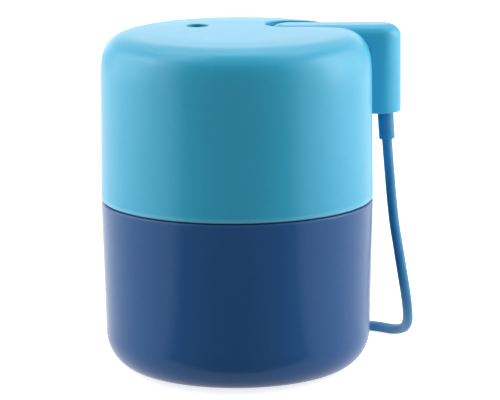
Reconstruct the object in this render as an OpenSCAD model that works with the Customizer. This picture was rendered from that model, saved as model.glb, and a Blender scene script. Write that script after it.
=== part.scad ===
// Round desktop pencil sharpener with a plug-in power arm.
// A domed cover and its mechanism stand on a shavings cup. The pencil goes in at the top and is
// cut by a helical cutter that a carrier swings round it, driven by a motor through an idler gear.
// Origin: centre of the base pad's underside. +Z is up, +X points to the power arm's outer end.

/* [Body] */
// Outside radius of the body at the seam
body_r = 50; // [45:0.5:55]
// Height of the shavings cup, from its underside to its rim
cup_h = 62.8; // [55:0.5:80]
// Height of the domed cover, from its lower edge to its flat top
cover_h = 61.7; // [55:0.1:68]
// Gap between the cover's lower edge and the cup's rim
seam_gap = 0.4; // [0.2:0.1:1]
// Thickness of the cup's wall and floor
cup_wall = 2.5; // [1.6:0.1:3]
// Thickness of the cover's wall and top
cover_wall = 2.4; // [1.6:0.1:2.6]
// How much the cup's side leans in towards its base
cup_lean = 1.15; // [0:0.05:3]
// Width of the cup's rounded bottom corner
cup_corner_w = 13.1; // [4:0.5:16]
// Height of the cup's rounded bottom corner
cup_corner_h = 14.1; // [4:0.5:18]
// How much the cover's side leans in towards its shoulder
cover_lean = 0.35; // [0:0.05:1]
// Width of the cover's rounded shoulder
shoulder_w = 14.7; // [10:0.5:16]
// Height of the cover's rounded shoulder
shoulder_h = 18.2; // [10:0.5:20]
// Squareness of the shoulder's curve, where 2 is an ellipse
shoulder_power = 3.17; // [2:0.1:4]
// Radius of the small round on both edges of the seam
lip_r = 0.7; // [0.3:0.1:1]
// Radius of the rubber pad under the cup
pad_r = 34; // [20:0.5:35]
// Thickness of the rubber pad
pad_t = 1.6; // [1:0.1:2]
// How far the pad stands out below the cup
pad_proud = 0.6; // [0.3:0.1:1]

/* [Pencil path] */
// Place of the pencil's axis to the right of the body's axis
pencil_x = -14.2; // [-15:0.1:-13]
// Place of the pencil's axis behind the body's axis
pencil_y = 14.8; // [14:0.1:15.5]
// Radius of the hole that a pencil goes through
pencil_bore_r = 4.05; // [3.8:0.05:4.2]
// Thickness of the guide tube's wall
guide_wall = 1.15; // [0.8:0.05:1.2]
// Radius of the guide's mounting flange
guide_flange_r = 9.5; // [8:0.1:11]
// Thickness of the guide's mounting flange
guide_flange_t = 2; // [1.5:0.1:2.5]

/* [Power arm] */
// Place of the arm's centre line behind the body's axis
arm_y = 18.4; // [17:0.1:20]
// Half the width of the arm
arm_half_w = 8.45; // [7.5:0.05:9]
// Place of the arm's inner end
arm_inner_x = 12; // [11:0.1:13]
// How far the arm reaches past the body's side
arm_reach = 11.2; // [10:0.1:14]
// Height of the arm's bar
arm_bar_h = 8.3; // [7.5:0.1:9]
// How far the arm's top lies below the cover's top
arm_sunk = 0.2; // [0:0.1:1]
// Length of the arm's block, from the arm's top down to its foot
arm_drop = 32.8; // [24:0.1:40]
// Width of the round along the arm's top edge
arm_edge_w = 5; // [2:0.1:6]
// Height of the round along the arm's top edge
arm_edge_h = 4.5; // [2:0.1:6]
// Gap between the body's side and the arm's block
arm_hug_gap = 0.6; // [0.4:0.1:2]
// Thickness of the arm's walls
arm_wall = 1.8; // [1.4:0.1:2]
// Gap between the arm and the side of its channel
channel_side_gap = 0.55; // [0.3:0.05:1]
// Gap between the arm's inner end and the end of its channel
channel_end_gap = 1.2; // [0.5:0.1:2]
// Thickness of the channel's floor and walls
channel_wall = 2; // [1.5:0.1:2]
// Length of the plug block under the arm
plug_l = 8.4; // [7:0.1:10]
// Width of the plug block
plug_w = 5.4; // [4.5:0.1:6]
// How deep the plug block reaches below the arm
plug_deep = 8.5; // [6:0.1:9]
// Place of the plug block, from the body's side
plug_in = 18; // [17:0.1:20]
// Radius of the strain relief
relief_r = 3.02; // [2.5:0.01:3.5]
// Length of the strain relief below the arm
relief_l = 10.7; // [6:0.1:14]
// Lean of the strain relief away from the body, in degrees
relief_lean = 3.35; // [0:0.05:5]
// Place of the strain relief's root, from the arm's outer end
relief_in = 5.79; // [5:0.01:7]

/* [Cutting head] */
// Half the angle of the sharpened cone, in degrees
cone_angle = 10; // [9:0.5:10.5]
// Radius of the helical cutter over its blades
cutter_r = 5; // [4.9:0.05:5.2]
// Length of the helical cutter
cutter_l = 20.6; // [16:0.1:20.8]
// Blades round the cutter
cutter_blades = 9; // [6:1:12]
// Turn of the blades over the cutter's length, in degrees
cutter_twist = 80; // [30:5:120]
// Radius of the cutter's axle
axle_r = 1.5; // [1.3:0.05:1.7]
// Thickness of the carrier's two discs
disc_t = 2.2; // [1.8:0.1:2.3]
// Module of the cutter's pinion and ring gear at their outer end
bevel_mod = 0.8; // [0.8:0.01:0.82]
// Length of the teeth on the cutter's pinion and ring gear
bevel_face = 4; // [3:0.1:4.5]
// Teeth on the cutter's pinion
pinion_teeth = 12; // [12:1:12]
// Teeth inside the ring gear
ring_teeth = 36; // [36:1:36]
// Direction of the cutter from the pencil, in degrees
carrier_angle = 225; // [180:5:270]

/* [Drive] */
// Module of the drive gears
drive_mod = 0.7; // [0.69:0.005:0.71]
// Teeth on the carrier's gear
carrier_teeth = 56; // [56:1:56]
// Teeth on the idler's small gear
idler_small_teeth = 12; // [12:1:12]
// Teeth on the idler's large gear
idler_large_teeth = 42; // [42:1:42]
// Teeth on the motor's pinion
motor_teeth = 10; // [10:1:10]
// Direction of the idler from the pencil and of the motor from the idler, in degrees
train_angle = -45; // [-50:1:-42]
// Thickness of the carrier's gear
carrier_gear_t = 3.5; // [2.5:0.1:3.8]
// Thickness of the idler's large gear
idler_gear_t = 2.5; // [2:0.1:2.8]
// Radius of the motor's can
motor_r = 12; // [10:0.1:12.5]
// Radius of the motor's shaft
shaft_r = 1; // [0.8:0.05:1.2]
// Thickness of the gear plates
plate_t = 2; // [1.5:0.1:2.2]
// Thickness of the chassis floor
floor_t = 2.4; // [2:0.1:2.6]
// Depth of the chassis skirt inside the cup
skirt_h = 7.6; // [6.5:0.1:10]
// Radius of the pillars that carry the gear plates
pillar_r = 3; // [2.5:0.1:3.3]

/* [Hidden] */
$fn = 96;

// Clearances
run_gap = 0.05;
gear_slack = 0.09;
ring_slack = 0.16;
cut_gap = 0.2;
skirt_gap = 0.55;
grip_gap = 0.15;
rebate_gap = 0.2;
seat_gap = 0.05;
fit_gap = 0.05;
plug_gap = 0.4;
screw_gap = 0.2;
// Overlap that joins two solids of one piece
small = 0.01;
// How far a cut runs past the face that it opens
over = 1;

// Heights of the body
cup_base_z = pad_proud;
rim_z = cup_base_z + cup_h;
cover_base_z = rim_z + seam_gap;
top_z = cover_base_z + cover_h;
cup_bore_r = body_r - cup_wall - fit_gap;
skirt_r = cup_bore_r - skirt_gap;
skirt_wall = 2;
floor_in = 1.4;
floor_r = body_r - floor_in;
rebate_h = 2.2;
bore_under = 4;

// Heights of the power arm and its channel
arm_top_z = top_z - arm_sunk;
arm_floor_z = arm_top_z - arm_bar_h;
channel_floor_z = arm_floor_z - seat_gap;
channel_half_w = arm_half_w + channel_side_gap;
channel_x = arm_inner_x - channel_end_gap;
trough_z = channel_floor_z - channel_wall;
arm_foot_z = arm_top_z - arm_drop;
arm_outer_x = body_r + arm_reach;
hug_r = body_r + arm_hug_gap;
liner_t = 1.6;
plate_in = arm_wall + fit_gap;
least_edge = 0.5;
relief_x = arm_outer_x - relief_in;
collar_gap = 0.3;
collar_h = 1.5;
collar_w = 1;
plug_x = body_r - plug_in;

// Heights of the gear train, worked down from the cover's top
pencil = [pencil_x, pencil_y];
floor_z = rim_z + floor_t;
over_plate = 14;
journal_gap = 0.4;
journal_wall = 1.8;
journal_rise = 0.5;
gear_gap = 0.8;
plate_gap = 1;
high_plate_z = top_z - over_plate;
idler_z = high_plate_z - gear_gap - idler_gear_t;
gear_z = idler_z - gear_gap - carrier_gear_t;
low_plate_z = gear_z - plate_gap - plate_t;
disc_z = low_plate_z - plate_gap - disc_t;
guide_r = pencil_bore_r + guide_wall;
journal_bore_r = guide_r + journal_gap;
journal_r = journal_bore_r + journal_wall;
journal_top_z = high_plate_z + plate_t + journal_rise;

// Teeth: height above and depth below the pitch circle in modules, and widest half tooth in degrees
pressure_angle = 20;
pinion_tip = 0.8;
pinion_root = 1.2;
wheel_tip = 0.85;
wheel_root = 1.25;
tooth_room = 176;

// Cutting head, whose cones meet at the apex
pinion_gap = 0.6;
cutter_set = 0.8;
ring_rim = 2.6;
ring_gap = 0.8;
ring_wall = 2;
ring_open = 0.3;
ring_flange_w = 1.6;
ring_flange_t = 2;
hub_gap = 0.4;
hub_h = 3.6;
pivot_gap = 0.4;
pivot_wall = 2;
journal_bush_wall = 1.4;
upper_bush_r = journal_r + run_gap + journal_bush_wall;
post_turns = [110, 180, 250];
axle_in = 0.4;
collar_r = 3;
blade_heel = [0.35, 0.7];
blade_gullet = [0.85, 1.2];
twist_slices = 12;
ratio = ring_teeth / pinion_teeth;
pinion_cone = atan(sin(cone_angle) / (ratio - cos(cone_angle)));
ring_cone = pinion_cone + cone_angle;
bevel_far = pinion_teeth * bevel_mod / 2 / sin(pinion_cone);
bevel_near = bevel_far - bevel_face;
pinion_tip_r = (pinion_teeth / 2 + 1) * bevel_mod;
apex_z = disc_z - pinion_gap - bevel_far * cos(cone_angle) - pinion_tip_r * sin(cone_angle);
tip_z = apex_z + (cutter_r + cut_gap) / sin(cone_angle);
cutter_start = (tip_z - apex_z) * cos(cone_angle) + cutter_set;
disc_r = (ring_teeth / 2 + ring_rim) * bevel_mod;
ring_base_z = apex_z + bevel_near * cos(ring_cone);
ring_bore_r = disc_r + ring_gap;
ring_r = ring_bore_r + ring_wall;
tip_room = 1.4;
carrier_base_z = tip_z - tip_room - disc_t;
carrier_disc_r = 12;
hub_top_z = carrier_base_z - hub_gap;
hub_low_z = hub_top_z - hub_h;
pivot_r = 3;
bush_r = pivot_r + pivot_wall;
post_r = 1.8;
post_ring_r = 9.2;
chute_r = 17;
chute_wall = 1.5;

// Start lever and switch, measured from the pencil's axis along their own direction
switch_angle = 198.8;
lever_x = 6.6;
lever_pin_r = 0.5;
lever_rise = 5.5;
lever_z = journal_top_z + lever_rise;
lever_drop = 2.4;
lever_tail = 1;
lever_t = 1;
lever_w = 3;
lever_tip = 3.4;
eye_r = 1.05;
pin_out = 1.6;
pin_bore_l = 8;
finger_w = 1.6;
finger_h = 1.2;
slot_half_h = 2;
slot_low_z = lever_z - lever_drop - slot_half_h;
slot_high_z = lever_z - lever_drop + slot_half_h;
slot_w = 2.4;
slot_relief = 0.5;
slot_sill = 0.2;
guide_gap = 0.6;
lug_t = 1.4;
lug_gap = 0.2;
lug_reach = 1.2;
lug_root = 0.5;
button_r = 0.8;
button_gap = 0.2;
button_out = 1.3;
button_in = 1.2;
button_bore = 2;
button_x = lever_x + lever_t / 2 + button_gap;
switch_x = button_x + button_out;
switch_size = [5.8, 12.8, 6.4];

// Drive train
along = [cos(train_angle), sin(train_angle)];
idler = pencil + along * drive_mod * (carrier_teeth + idler_small_teeth) / 2;
motor = idler + along * drive_mod * (idler_large_teeth + motor_teeth) / 2;
cap_h = 3;
motor_room = 7.1;
motor_l = low_plate_z - floor_z - motor_room;
motor_base_z = low_plate_z - motor_l;
can_wall = 1;
can_top = 1.2;
can_boss_r = 3.4;
can_boss_in = 0.4;
can_boss_gap = 0.1;
cap_bore = 1.6;
terminal = [0.8, 3, 2.6];
terminal_root = 0.4;
terminal_x = 5;
shaft_in = 0.5;
shaft_tail = 1.2;
shaft_top_z = high_plate_z - shaft_in;
magnet_t = 1.6;
magnet_low = 2;
magnet_high = 3;
magnet_split = 4;
core_gap = 0.5;
core_low = 6;
core_high = 5;
core_r = motor_r - can_wall - magnet_t - core_gap;
commutator_r = 3;
commutator_low = 1;
idler_low = 0.4;
pinion_low = 0.3;
lightening_r = 2.8;
lightening_in = 0.3;
lightening_count = 6;

// Chassis
hub_wall = 1.2;
hub_r = bush_r + hub_wall;
spoke_w = 3;
spoke_turn = 15;
standoff_x = 9;
standoff_r = 2.2;
grip_h = 2;
grip_slack = 0.2;
grip_deep = 1;
groove_h = grip_h + grip_slack;
grip_inner_r = skirt_r - grip_deep;
grip_z = rim_z - skirt_h / 2;

// Supports
pillars = [[-37, 5.5], [-4.5, 37], [31, -21], [0, -36]];
posts = [pillars[0], pillars[1], pillars[2]];
land_w = 1.5;
land_r = pillar_r + land_w;
strap_w = 2 * pillar_r + 2;
plate_edge = 2;
motor_edge = 1;
journal_clear = 1.5;
bearing_land = 5.4;
idler_land_r = 6;
idler_strap_w = 10;
switch_strap_w = 14;
plate_screw_l = 6;
cover_screw_l = 9;
post_bore = 5;
boss_r = 3.5;
boss_in = 3.1;
boss_ring_r = body_r - cover_wall - boss_r - boss_in;
boss_angles = [70, 195, 290];
bosses = [for (a = boss_angles) boss_ring_r * [cos(a), sin(a)]];
screw_r = 1.25;
head_r = 2.6;
head_h = 1.8;
drive_r = 1.3;
drive_deep = 1;

// Electrics
board_at = [-18, -21];
board_size = [24, 16, 1.6];
standoff_h = 6;
board_z = floor_z + standoff_h;
board_top_z = board_z + board_size[2];
board_end_x = board_at[0] + board_size[0] / 2;
capacitor_at = board_at + [-6, 2];
capacitor_r = 4;
capacitor_h = 11;
chip_at = board_at + [1, -3];
chip_size = [7, 5, 1.6];
reed_in = 6;
reed_at = [-cup_bore_r + reed_in, 0];
reed_size = [10, 3, 2.6];
rib_w = 6;
rib_deep = 6.2;
rib_gap = 0.8;
rib_top_z = rim_z - skirt_h - rib_gap;
magnet_r = 2;
magnet_h = 1.5;
magnet_at = [-cup_bore_r + rib_deep / 2, 0];
socket_wall = 1.9;
socket_base = 1.6;
socket_room = 0.8;
socket_deep = plug_deep - channel_wall + socket_room;
socket_low_z = trough_z - socket_deep - socket_base;
contact_t = 0.3;
contact_w = 2.4;
contact_short = 1;
wire_r = 0.7;
wire_sides = 6;
wire_space = 3;
wire_gap = 0.5;
under_z = motor_base_z - cap_h - wire_r - wire_gap;
supply_pad = [board_end_x, board_at[1] + 4];
supply_drop = 18;
supply_bends = [[plug_x + 4, 8], [plug_x + 1, 0], [6, -6], [-2, -14]];
motor_pad = [board_end_x - 3, board_at[1] - 4.5];
wire_rise = 2;
wire_bend = 5;
terminal_y = motor[1] - terminal[1] / 2;

// Power cord
cord_r = 1.95;
cord_sides = 8;
plug_axis_z = 2;
coil_at = [2, 82];
coil_mean_r = 22;
coil_w = 6 * cord_r;
coil_h = 4 * cord_r;
upper_route = [
    [56.04, 18.4, 81.8], [56.3, 18.4, 78], [56.6, 18.4, 74], [57, 18.4, 69], [57.4, 18.4, 64],
    [57.9, 18.4, 58.5], [58.4, 18.4, 53.5], [59, 18.4, 48.5], [59.8, 18.4, 43.5], [60.6, 18.4, 38.5]
];
lower_route = [
    upper_route[len(upper_route) - 1], [61.4, 18.4, 33.5], [62.2, 19, 28.5], [63, 20.3, 23.6],
    [63.7, 22.4, 18.8], [64.2, 25.3, 14.4], [64.5, 29, 10.5], [64.3, 33.3, 7.2], [63.4, 37.9, 4.7],
    [61.6, 42.5, 3], [58.9, 46.7, 2.1], [55.2, 50.3, cord_r], [50.7, 53, cord_r], [45.6, 54.9, cord_r],
    [40, 56, cord_r], [32, 56.3, cord_r], [22, 56.2, cord_r], [12, 56.1, cord_r], [2, 56.1, cord_r]
];
tail_route = [[-23.9, 82, cord_r], [-24.3, 88, cord_r], [-25.4, 94, cord_r], [-26.7, 99.6, cord_r + 0.6],
    [-27.7, 105.2, cord_r + plug_axis_z]];
plug_heading = 100;
plug_body = [20, 15.6, 7.9];
plug_shell = [12, 12, 4.5];

// Colours
sky = "#4fb3d9";
navy = "#24497a";
cord_blue = "#2573a8";
graphite = "#3a3d42";
white_plastic = "#e8e8e4";
steel = "#b9bcc0";
brass = "#c9a24a";
rubber = "#2b2b2d";

// Quarter of a superellipse between two directions, as points round a centre
function corner(centre, w, h, power, from, to, steps) = [
    for (i = [0:steps]) let(a = from + (to - from) * i / steps) [
        centre[0] + w * pow(abs(cos(a)), 2 / power) * sign(cos(a)),
        centre[1] + h * pow(abs(sin(a)), 2 / power) * sign(sin(a))
    ]
];

// Point on a circle
function polar(r, a) = [r * cos(a), r * sin(a)];

// Half the width of a tooth at a radius, as an angle
function tooth_half(teeth, mod, r, slack) = min(
    ((PI * mod / 4 - slack) - (r - teeth * mod / 2) * tan(pressure_angle)) / r * 180 / PI,
    tooth_room / teeth);

// Outline of a gear with one tooth centred on angle 0
function gear_outline(teeth, mod, tip, root, slack) = [
    for (i = [0:teeth - 1])
        let(a = 360 * i / teeth, tip_r = (teeth / 2 + tip) * mod, root_r = (teeth / 2 - root) * mod)
        let(at_tip = tooth_half(teeth, mod, tip_r, slack), at_root = tooth_half(teeth, mod, root_r, slack))
        each [polar(root_r, a - at_root), polar(tip_r, a - at_tip),
            polar(tip_r, a + at_tip), polar(root_r, a + at_root)]
];

// Unit vector, a route's direction at a point, and the sideways directions carried along it
function unit(v) = v / norm(v);
function heading(route, i) = unit(route[min(i + 1, len(route) - 1)] - route[max(i - 1, 0)]);
function sideways(v, t) = unit(v - (v * t) * t);
function carried(route) = [
    for (i = 0, v = sideways([0, 1, 0], heading(route, 0)); i < len(route);
        i = i + 1, v = i < len(route) ? sideways(v, heading(route, i)) : v) v
];

// Round solid tube along a route
module swept(route, r, sides) {
    across = carried(route);
    points = [
        for (i = [0:len(route) - 1], k = [0:sides - 1])
            let(t = heading(route, i), a = 360 * k / sides)
            route[i] + r * (cos(a) * across[i] + sin(a) * cross(t, across[i]))
    ];
    walls = [
        for (i = [0:len(route) - 2], k = [0:sides - 1])
            let(n = (k + 1) % sides)
            [i * sides + k, (i + 1) * sides + k, (i + 1) * sides + n, i * sides + n]
    ];
    last = (len(route) - 1) * sides;
    ends = [[for (k = [0:sides - 1]) k], [for (k = [0:sides - 1]) last + sides - 1 - k]];
    polyhedron(points, concat(walls, ends), convexity = 6);
}

// Upright cylinder and tube between two heights
module disc(at, r, low, high) {
    translate([at[0], at[1], low])
        cylinder(h = high - low, r = r);
}

module tube(at, r, bore, low, high) {
    difference() {
        disc(at, r, low, high);
        disc(at, bore, low - over, high + over);
    }
}

// Flat strap between two places
module strap(a, b, w) {
    translate(a)
        rotate(atan2(b[1] - a[1], b[0] - a[0]))
            translate([0, -w / 2])
                square([norm(b - a), w]);
}

// Flat shape with round ends along +X
module stadium(from_x, to_x, half_w) {
    translate([from_x + half_w, arm_y])
        circle(r = half_w);
    translate([to_x - half_w, arm_y])
        circle(r = half_w);
    translate([from_x + half_w, arm_y - half_w])
        square([to_x - from_x - 2 * half_w, 2 * half_w]);
}

// Screw with its head at the given height, head up or down
module screw(at, z, shank, up) {
    translate([at[0], at[1], z])
        mirror([0, 0, up ? 0 : 1]) {
            difference() {
                cylinder(h = head_h, r = head_r);
                translate([0, 0, head_h - drive_deep])
                    cylinder(h = drive_deep + over, r = drive_r, $fn = 6);
            }
            translate([0, 0, -shank])
                cylinder(h = shank + small, r = screw_r);
        }
}

// Solid inside the cover's outer face, moved in by a wall
module cover_solid(wall) {
    low = wall > 0 ? cover_base_z - over : cover_base_z;
    shoulder = [body_r - cover_lean - shoulder_w, top_z - shoulder_h];
    edge = wall > 0 ? [[body_r - wall, low]]
        : corner([body_r - lip_r, low + lip_r], lip_r, lip_r, 2, -90, 0, 4);
    rotate_extrude()
        polygon(concat([[0, low]], edge,
            corner(shoulder, shoulder_w - wall, shoulder_h - wall, shoulder_power, 0, 90, 18),
            [[0, top_z - wall]]));
}

// Solid inside the cup's outer face, moved in by a wall
module cup_solid(wall) {
    high = rim_z + (wall > 0 ? over : 0);
    side_r = body_r - cup_lean;
    base = corner([side_r - cup_corner_w, cup_base_z + cup_corner_h],
        cup_corner_w - wall, cup_corner_h - wall, 2, -90, 0, 12);
    edge = wall > 0 ? [[cup_bore_r, rim_z - skirt_h - bore_under], [cup_bore_r, high]]
        : corner([body_r - lip_r, high - lip_r], lip_r, lip_r, 2, 0, 90, 4);
    rotate_extrude()
        polygon(concat([[0, cup_base_z + wall]], base, edge, [[0, high]]));
}

// Space of the arm's channel, widened by a wall
module channel(wall, low) {
    translate([0, 0, low])
        linear_extrude(height = top_z - low + over)
            stadium(channel_x - wall, 2 * body_r, channel_half_w + wall);
}

// Solid of the arm with its rounded top edge, moved in by a wall
module arm_solid(wall, low, high) {
    half_w = arm_half_w - wall;
    edge_w = max(arm_edge_w - wall, least_edge);
    edge_h = max(arm_edge_h - wall, least_edge);
    side = concat([[0, low], [half_w, low]],
        corner([half_w - edge_w, high - edge_h], edge_w, edge_h, 2, 0, 90, 10), [[0, high]]);
    start_x = arm_inner_x + arm_half_w;
    end_x = arm_outer_x - arm_half_w;
    for (x = [start_x, end_x])
        translate([x, arm_y, 0])
            rotate_extrude()
                polygon(side);
    for (flip = [0, 1])
        translate([start_x, arm_y, 0])
            mirror([0, flip, 0])
                rotate([90, 0, 90])
                    linear_extrude(height = end_x - start_x)
                        polygon(side);
}

// Places the cutter's axis, which meets the pencil's axis at the cone's apex
module on_cutter_axis() {
    translate([pencil_x, pencil_y, apex_z])
        rotate([0, 0, carrier_angle])
            rotate([0, cone_angle, 0])
                children();
}

// Toothed cone that tapers to the apex
module bevel_teeth(teeth, near, far, whole, tip, root, slack) {
    translate([0, 0, near])
        linear_extrude(height = far - near, scale = far / near)
            polygon(gear_outline(teeth, bevel_mod * near / whole, tip, root, slack * near / whole));
}

// Places the start lever and its switch beside the pencil
module beside_pencil() {
    translate([pencil_x, pencil_y, 0])
        rotate([0, 0, switch_angle])
            children();
}

// Shavings cup with the rib that holds its magnet
module shavings_bin() {
    color(navy)
        difference() {
            union() {
                difference() {
                    cup_solid(0);
                    cup_solid(cup_wall);
                }
                intersection() {
                    cup_solid(cup_wall / 2);
                    translate([-cup_bore_r - over, -rib_w / 2, cup_base_z])
                        cube([rib_deep + over, rib_w, rib_top_z - cup_base_z]);
                }
            }
            disc(magnet_at, magnet_r, rib_top_z - magnet_h, rib_top_z + over);
            disc([0, 0], pad_r + fit_gap, -over, pad_t);
        }
}

// Magnet that tells the reed switch that the cup is on
module bin_magnet() {
    color(steel)
        disc(magnet_at, magnet_r, rib_top_z - magnet_h, rib_top_z);
}

// Rubber pad that the sharpener stands on
module base_pad() {
    color(rubber)
        disc([0, 0], pad_r, 0, pad_t);
}

// Domed cover with the arm's channel, the pencil hole and three screw bosses
module top_cover() {
    color(sky)
        difference() {
            union() {
                difference() {
                    cover_solid(0);
                    cover_solid(cover_wall);
                }
                intersection() {
                    cover_solid(0);
                    channel(channel_wall, trough_z);
                }
                intersection() {
                    cover_solid(cover_wall / 2);
                    for (at = bosses)
                        disc(at, boss_r, floor_z, top_z);
                }
            }
            channel(0, channel_floor_z);
            disc([0, 0], floor_r + rebate_gap, cover_base_z - over, cover_base_z + rebate_h);
            disc(pencil, pencil_bore_r, top_z - shoulder_h, top_z + over);
            translate([plug_x - plug_l / 2 - plug_gap, arm_y - plug_w / 2 - plug_gap, trough_z - over])
                cube([plug_l + 2 * plug_gap, plug_w + 2 * plug_gap, channel_wall + 2 * over]);
            for (at = bosses)
                disc(at, screw_r, floor_z - over, floor_z + cover_screw_l);
        }
}

// Guide tube under the pencil hole, with a slot and two lugs for the start lever
module pencil_guide() {
    flange_z = top_z - cover_wall - guide_flange_t;
    color(graphite)
        difference() {
            union() {
                disc(pencil, guide_r, disc_z + disc_t + guide_gap, flange_z + guide_flange_t / 2);
                disc(pencil, guide_flange_r, flange_z, flange_z + guide_flange_t);
                beside_pencil()
                    for (side = [-1, 1])
                        translate([guide_r - lug_root, side * (lever_w + lug_t + 2 * lug_gap) / 2 - lug_t / 2,
                            lever_z - lug_reach])
                            cube([lever_x - guide_r + lug_root + lug_reach, lug_t,
                                flange_z - lever_z + lug_root + lug_reach]);
            }
            disc(pencil, pencil_bore_r, disc_z, top_z);
            disc(pencil, pencil_bore_r + slot_relief, slot_low_z, slot_high_z);
            beside_pencil()
                translate([0, -slot_w / 2, slot_low_z + slot_sill])
                    cube([guide_r + over, slot_w, slot_high_z - slot_low_z - 2 * slot_sill]);
            beside_pencil()
                translate([lever_x, pin_bore_l / 2, lever_z])
                    rotate([90, 0, 0])
                        cylinder(h = pin_bore_l, r = lever_pin_r);
        }
}

// Floor of the cutting head, with its skirt, chute and lower bearing hub
module chassis() {
    color(graphite)
        difference() {
            union() {
                disc([0, 0], floor_r, rim_z, floor_z);
                disc(pencil, chute_r + chute_wall, min(rim_z, hub_low_z), max(floor_z, hub_low_z + floor_t));
                tube([0, 0], skirt_r, skirt_r - skirt_wall, rim_z - skirt_h, rim_z + floor_t / 2);
                for (x = [-standoff_x, standoff_x])
                    disc([board_at[0] + x, board_at[1]], standoff_r, floor_z - floor_t / 2, board_z);
            }
            difference() {
                disc(pencil, chute_r, min(rim_z, hub_low_z) - over, max(floor_z, hub_top_z) + over);
                disc(pencil, hub_r, hub_low_z, hub_top_z);
                for (i = [0:2])
                    translate([pencil_x, pencil_y, hub_low_z])
                        rotate([0, 0, spoke_turn + 120 * i])
                            translate([0, -spoke_w / 2, 0])
                                cube([chute_r + over, spoke_w, floor_t]);
            }
            disc(pencil, bush_r, hub_low_z - over, hub_top_z + over);
            tube([0, 0], skirt_r + over, grip_inner_r, grip_z - groove_h / 2, grip_z + groove_h / 2);
            for (at = bosses)
                disc(at, screw_r + screw_gap, rim_z - over, floor_z + over);
        }
}

// Rubber ring that holds the skirt in the cup
module grip_ring() {
    color(rubber)
        tube([0, 0], cup_bore_r - grip_gap, grip_inner_r, grip_z - grip_h / 2, grip_z + grip_h / 2);
}

// Plain bearing under the carrier
module lower_bush() {
    color(brass)
        tube(pencil, bush_r, pivot_r + run_gap, hub_low_z, hub_top_z);
}

// Plain bearing round the carrier's journal
module upper_bush() {
    color(brass)
        tube(pencil, upper_bush_r, journal_r + run_gap, high_plate_z, high_plate_z + plate_t);
}

// Fixed ring gear that the cutter's pinion rolls in
module ring_gear() {
    whole = bevel_far * cos(ring_cone);
    near = bevel_near * cos(ring_cone) - ring_open;
    color(white_plastic)
        difference() {
            union() {
                disc(pencil, ring_r, ring_base_z, low_plate_z);
                disc(pencil, ring_r + ring_flange_w, low_plate_z - ring_flange_t, low_plate_z);
            }
            translate([pencil_x, pencil_y, apex_z])
                rotate([0, 0, carrier_angle])
                    bevel_teeth(ring_teeth, near, whole + ring_open, whole, wheel_root, wheel_tip, -ring_slack);
            disc(pencil, ring_bore_r, apex_z + whole, low_plate_z + over);
        }
}

// Hole through a gear plate
module through_plate(at, r, z) {
    disc(at, r, z - over, z + plate_t + over);
}

// Plate under the gears, which the motor and the ring gear hang from
module lower_plate() {
    color(steel)
        difference() {
            translate([0, 0, low_plate_z])
                linear_extrude(height = plate_t) {
                    translate(pencil)
                        circle(r = ring_r + plate_edge);
                    translate(motor)
                        circle(r = motor_r + motor_edge);
                    strap(pencil, motor, 2 * motor_r);
                    for (at = [pillars[0], pillars[1]])
                        strap(pencil, at, strap_w);
                    for (at = [pillars[2], pillars[3]])
                        strap(motor, at, strap_w);
                    for (at = pillars)
                        translate(at)
                            circle(r = land_r);
                }
            through_plate(pencil, journal_r + journal_clear, low_plate_z);
            through_plate(motor, can_boss_r + can_boss_gap, low_plate_z);
            through_plate(idler, axle_r, low_plate_z);
        }
}

// Plate over the gears, which holds the upper bearing
module upper_plate() {
    color(steel)
        difference() {
            translate([0, 0, high_plate_z])
                linear_extrude(height = plate_t) {
                    translate(pencil)
                        circle(r = journal_r + bearing_land);
                    translate(idler)
                        circle(r = idler_land_r);
                    strap(pencil, idler, idler_strap_w);
                    strap(idler, posts[2], strap_w);
                    strap(pencil, posts[0], switch_strap_w);
                    strap(pencil, posts[1], strap_w);
                    for (at = posts)
                        translate(at)
                            circle(r = land_r);
                }
            through_plate(pencil, upper_bush_r, high_plate_z);
            through_plate(idler, axle_r, high_plate_z);
            for (at = posts)
                through_plate(at, screw_r, high_plate_z);
        }
}

// Pillar from the chassis floor to the lower plate
module pillar(i) {
    color(steel)
        disc(pillars[i], pillar_r, floor_z, low_plate_z);
}

// Post from the lower plate to the upper plate, bored for its screw
module post(i) {
    color(steel)
        difference() {
            disc(posts[i], pillar_r, low_plate_z + plate_t, high_plate_z);
            disc(posts[i], screw_r, high_plate_z - post_bore, high_plate_z + over);
        }
}

// Screw through the upper plate into a post
module plate_screw(i) {
    color(steel)
        screw(posts[i], high_plate_z + plate_t, plate_screw_l, true);
}

// Screw through the chassis floor into a boss of the cover
module cover_screw(i) {
    color(steel)
        screw(bosses[i], rim_z, cover_screw_l, false);
}

// Steel can of the motor, with its bearing boss
module motor_can() {
    color(steel)
        difference() {
            union() {
                disc(motor, motor_r, motor_base_z, low_plate_z);
                disc(motor, can_boss_r, low_plate_z - small, low_plate_z + plate_t - can_boss_in);
            }
            disc(motor, motor_r - can_wall, motor_base_z - over, low_plate_z - can_top);
            disc(motor, shaft_r + run_gap, motor_base_z, low_plate_z + plate_t + over);
        }
}

// Two curved magnets inside the can
module motor_magnets() {
    color(graphite)
        difference() {
            tube(motor, motor_r - can_wall, motor_r - can_wall - magnet_t, motor_base_z + magnet_low,
                low_plate_z - magnet_high);
            translate([motor[0] - motor_r, motor[1] - magnet_split / 2, motor_base_z])
                cube([2 * motor_r, magnet_split, motor_l]);
        }
}

// Plastic end cap of the motor with its two terminals
module motor_end_cap() {
    color(white_plastic)
        difference() {
            union() {
                disc(motor, motor_r, motor_base_z - cap_h, motor_base_z);
                for (x = [-terminal_x, terminal_x])
                    translate([motor[0] + x - terminal[0] / 2, terminal_y, motor_base_z - cap_h - terminal[2]])
                        cube(terminal + [0, 0, terminal_root]);
            }
            disc(motor, shaft_r + run_gap, motor_base_z - cap_bore, motor_base_z + over);
        }
}

// Axle that the idler turns on
module idler_axle() {
    color(steel)
        disc(idler, axle_r, low_plate_z, high_plate_z + plate_t);
}

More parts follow.
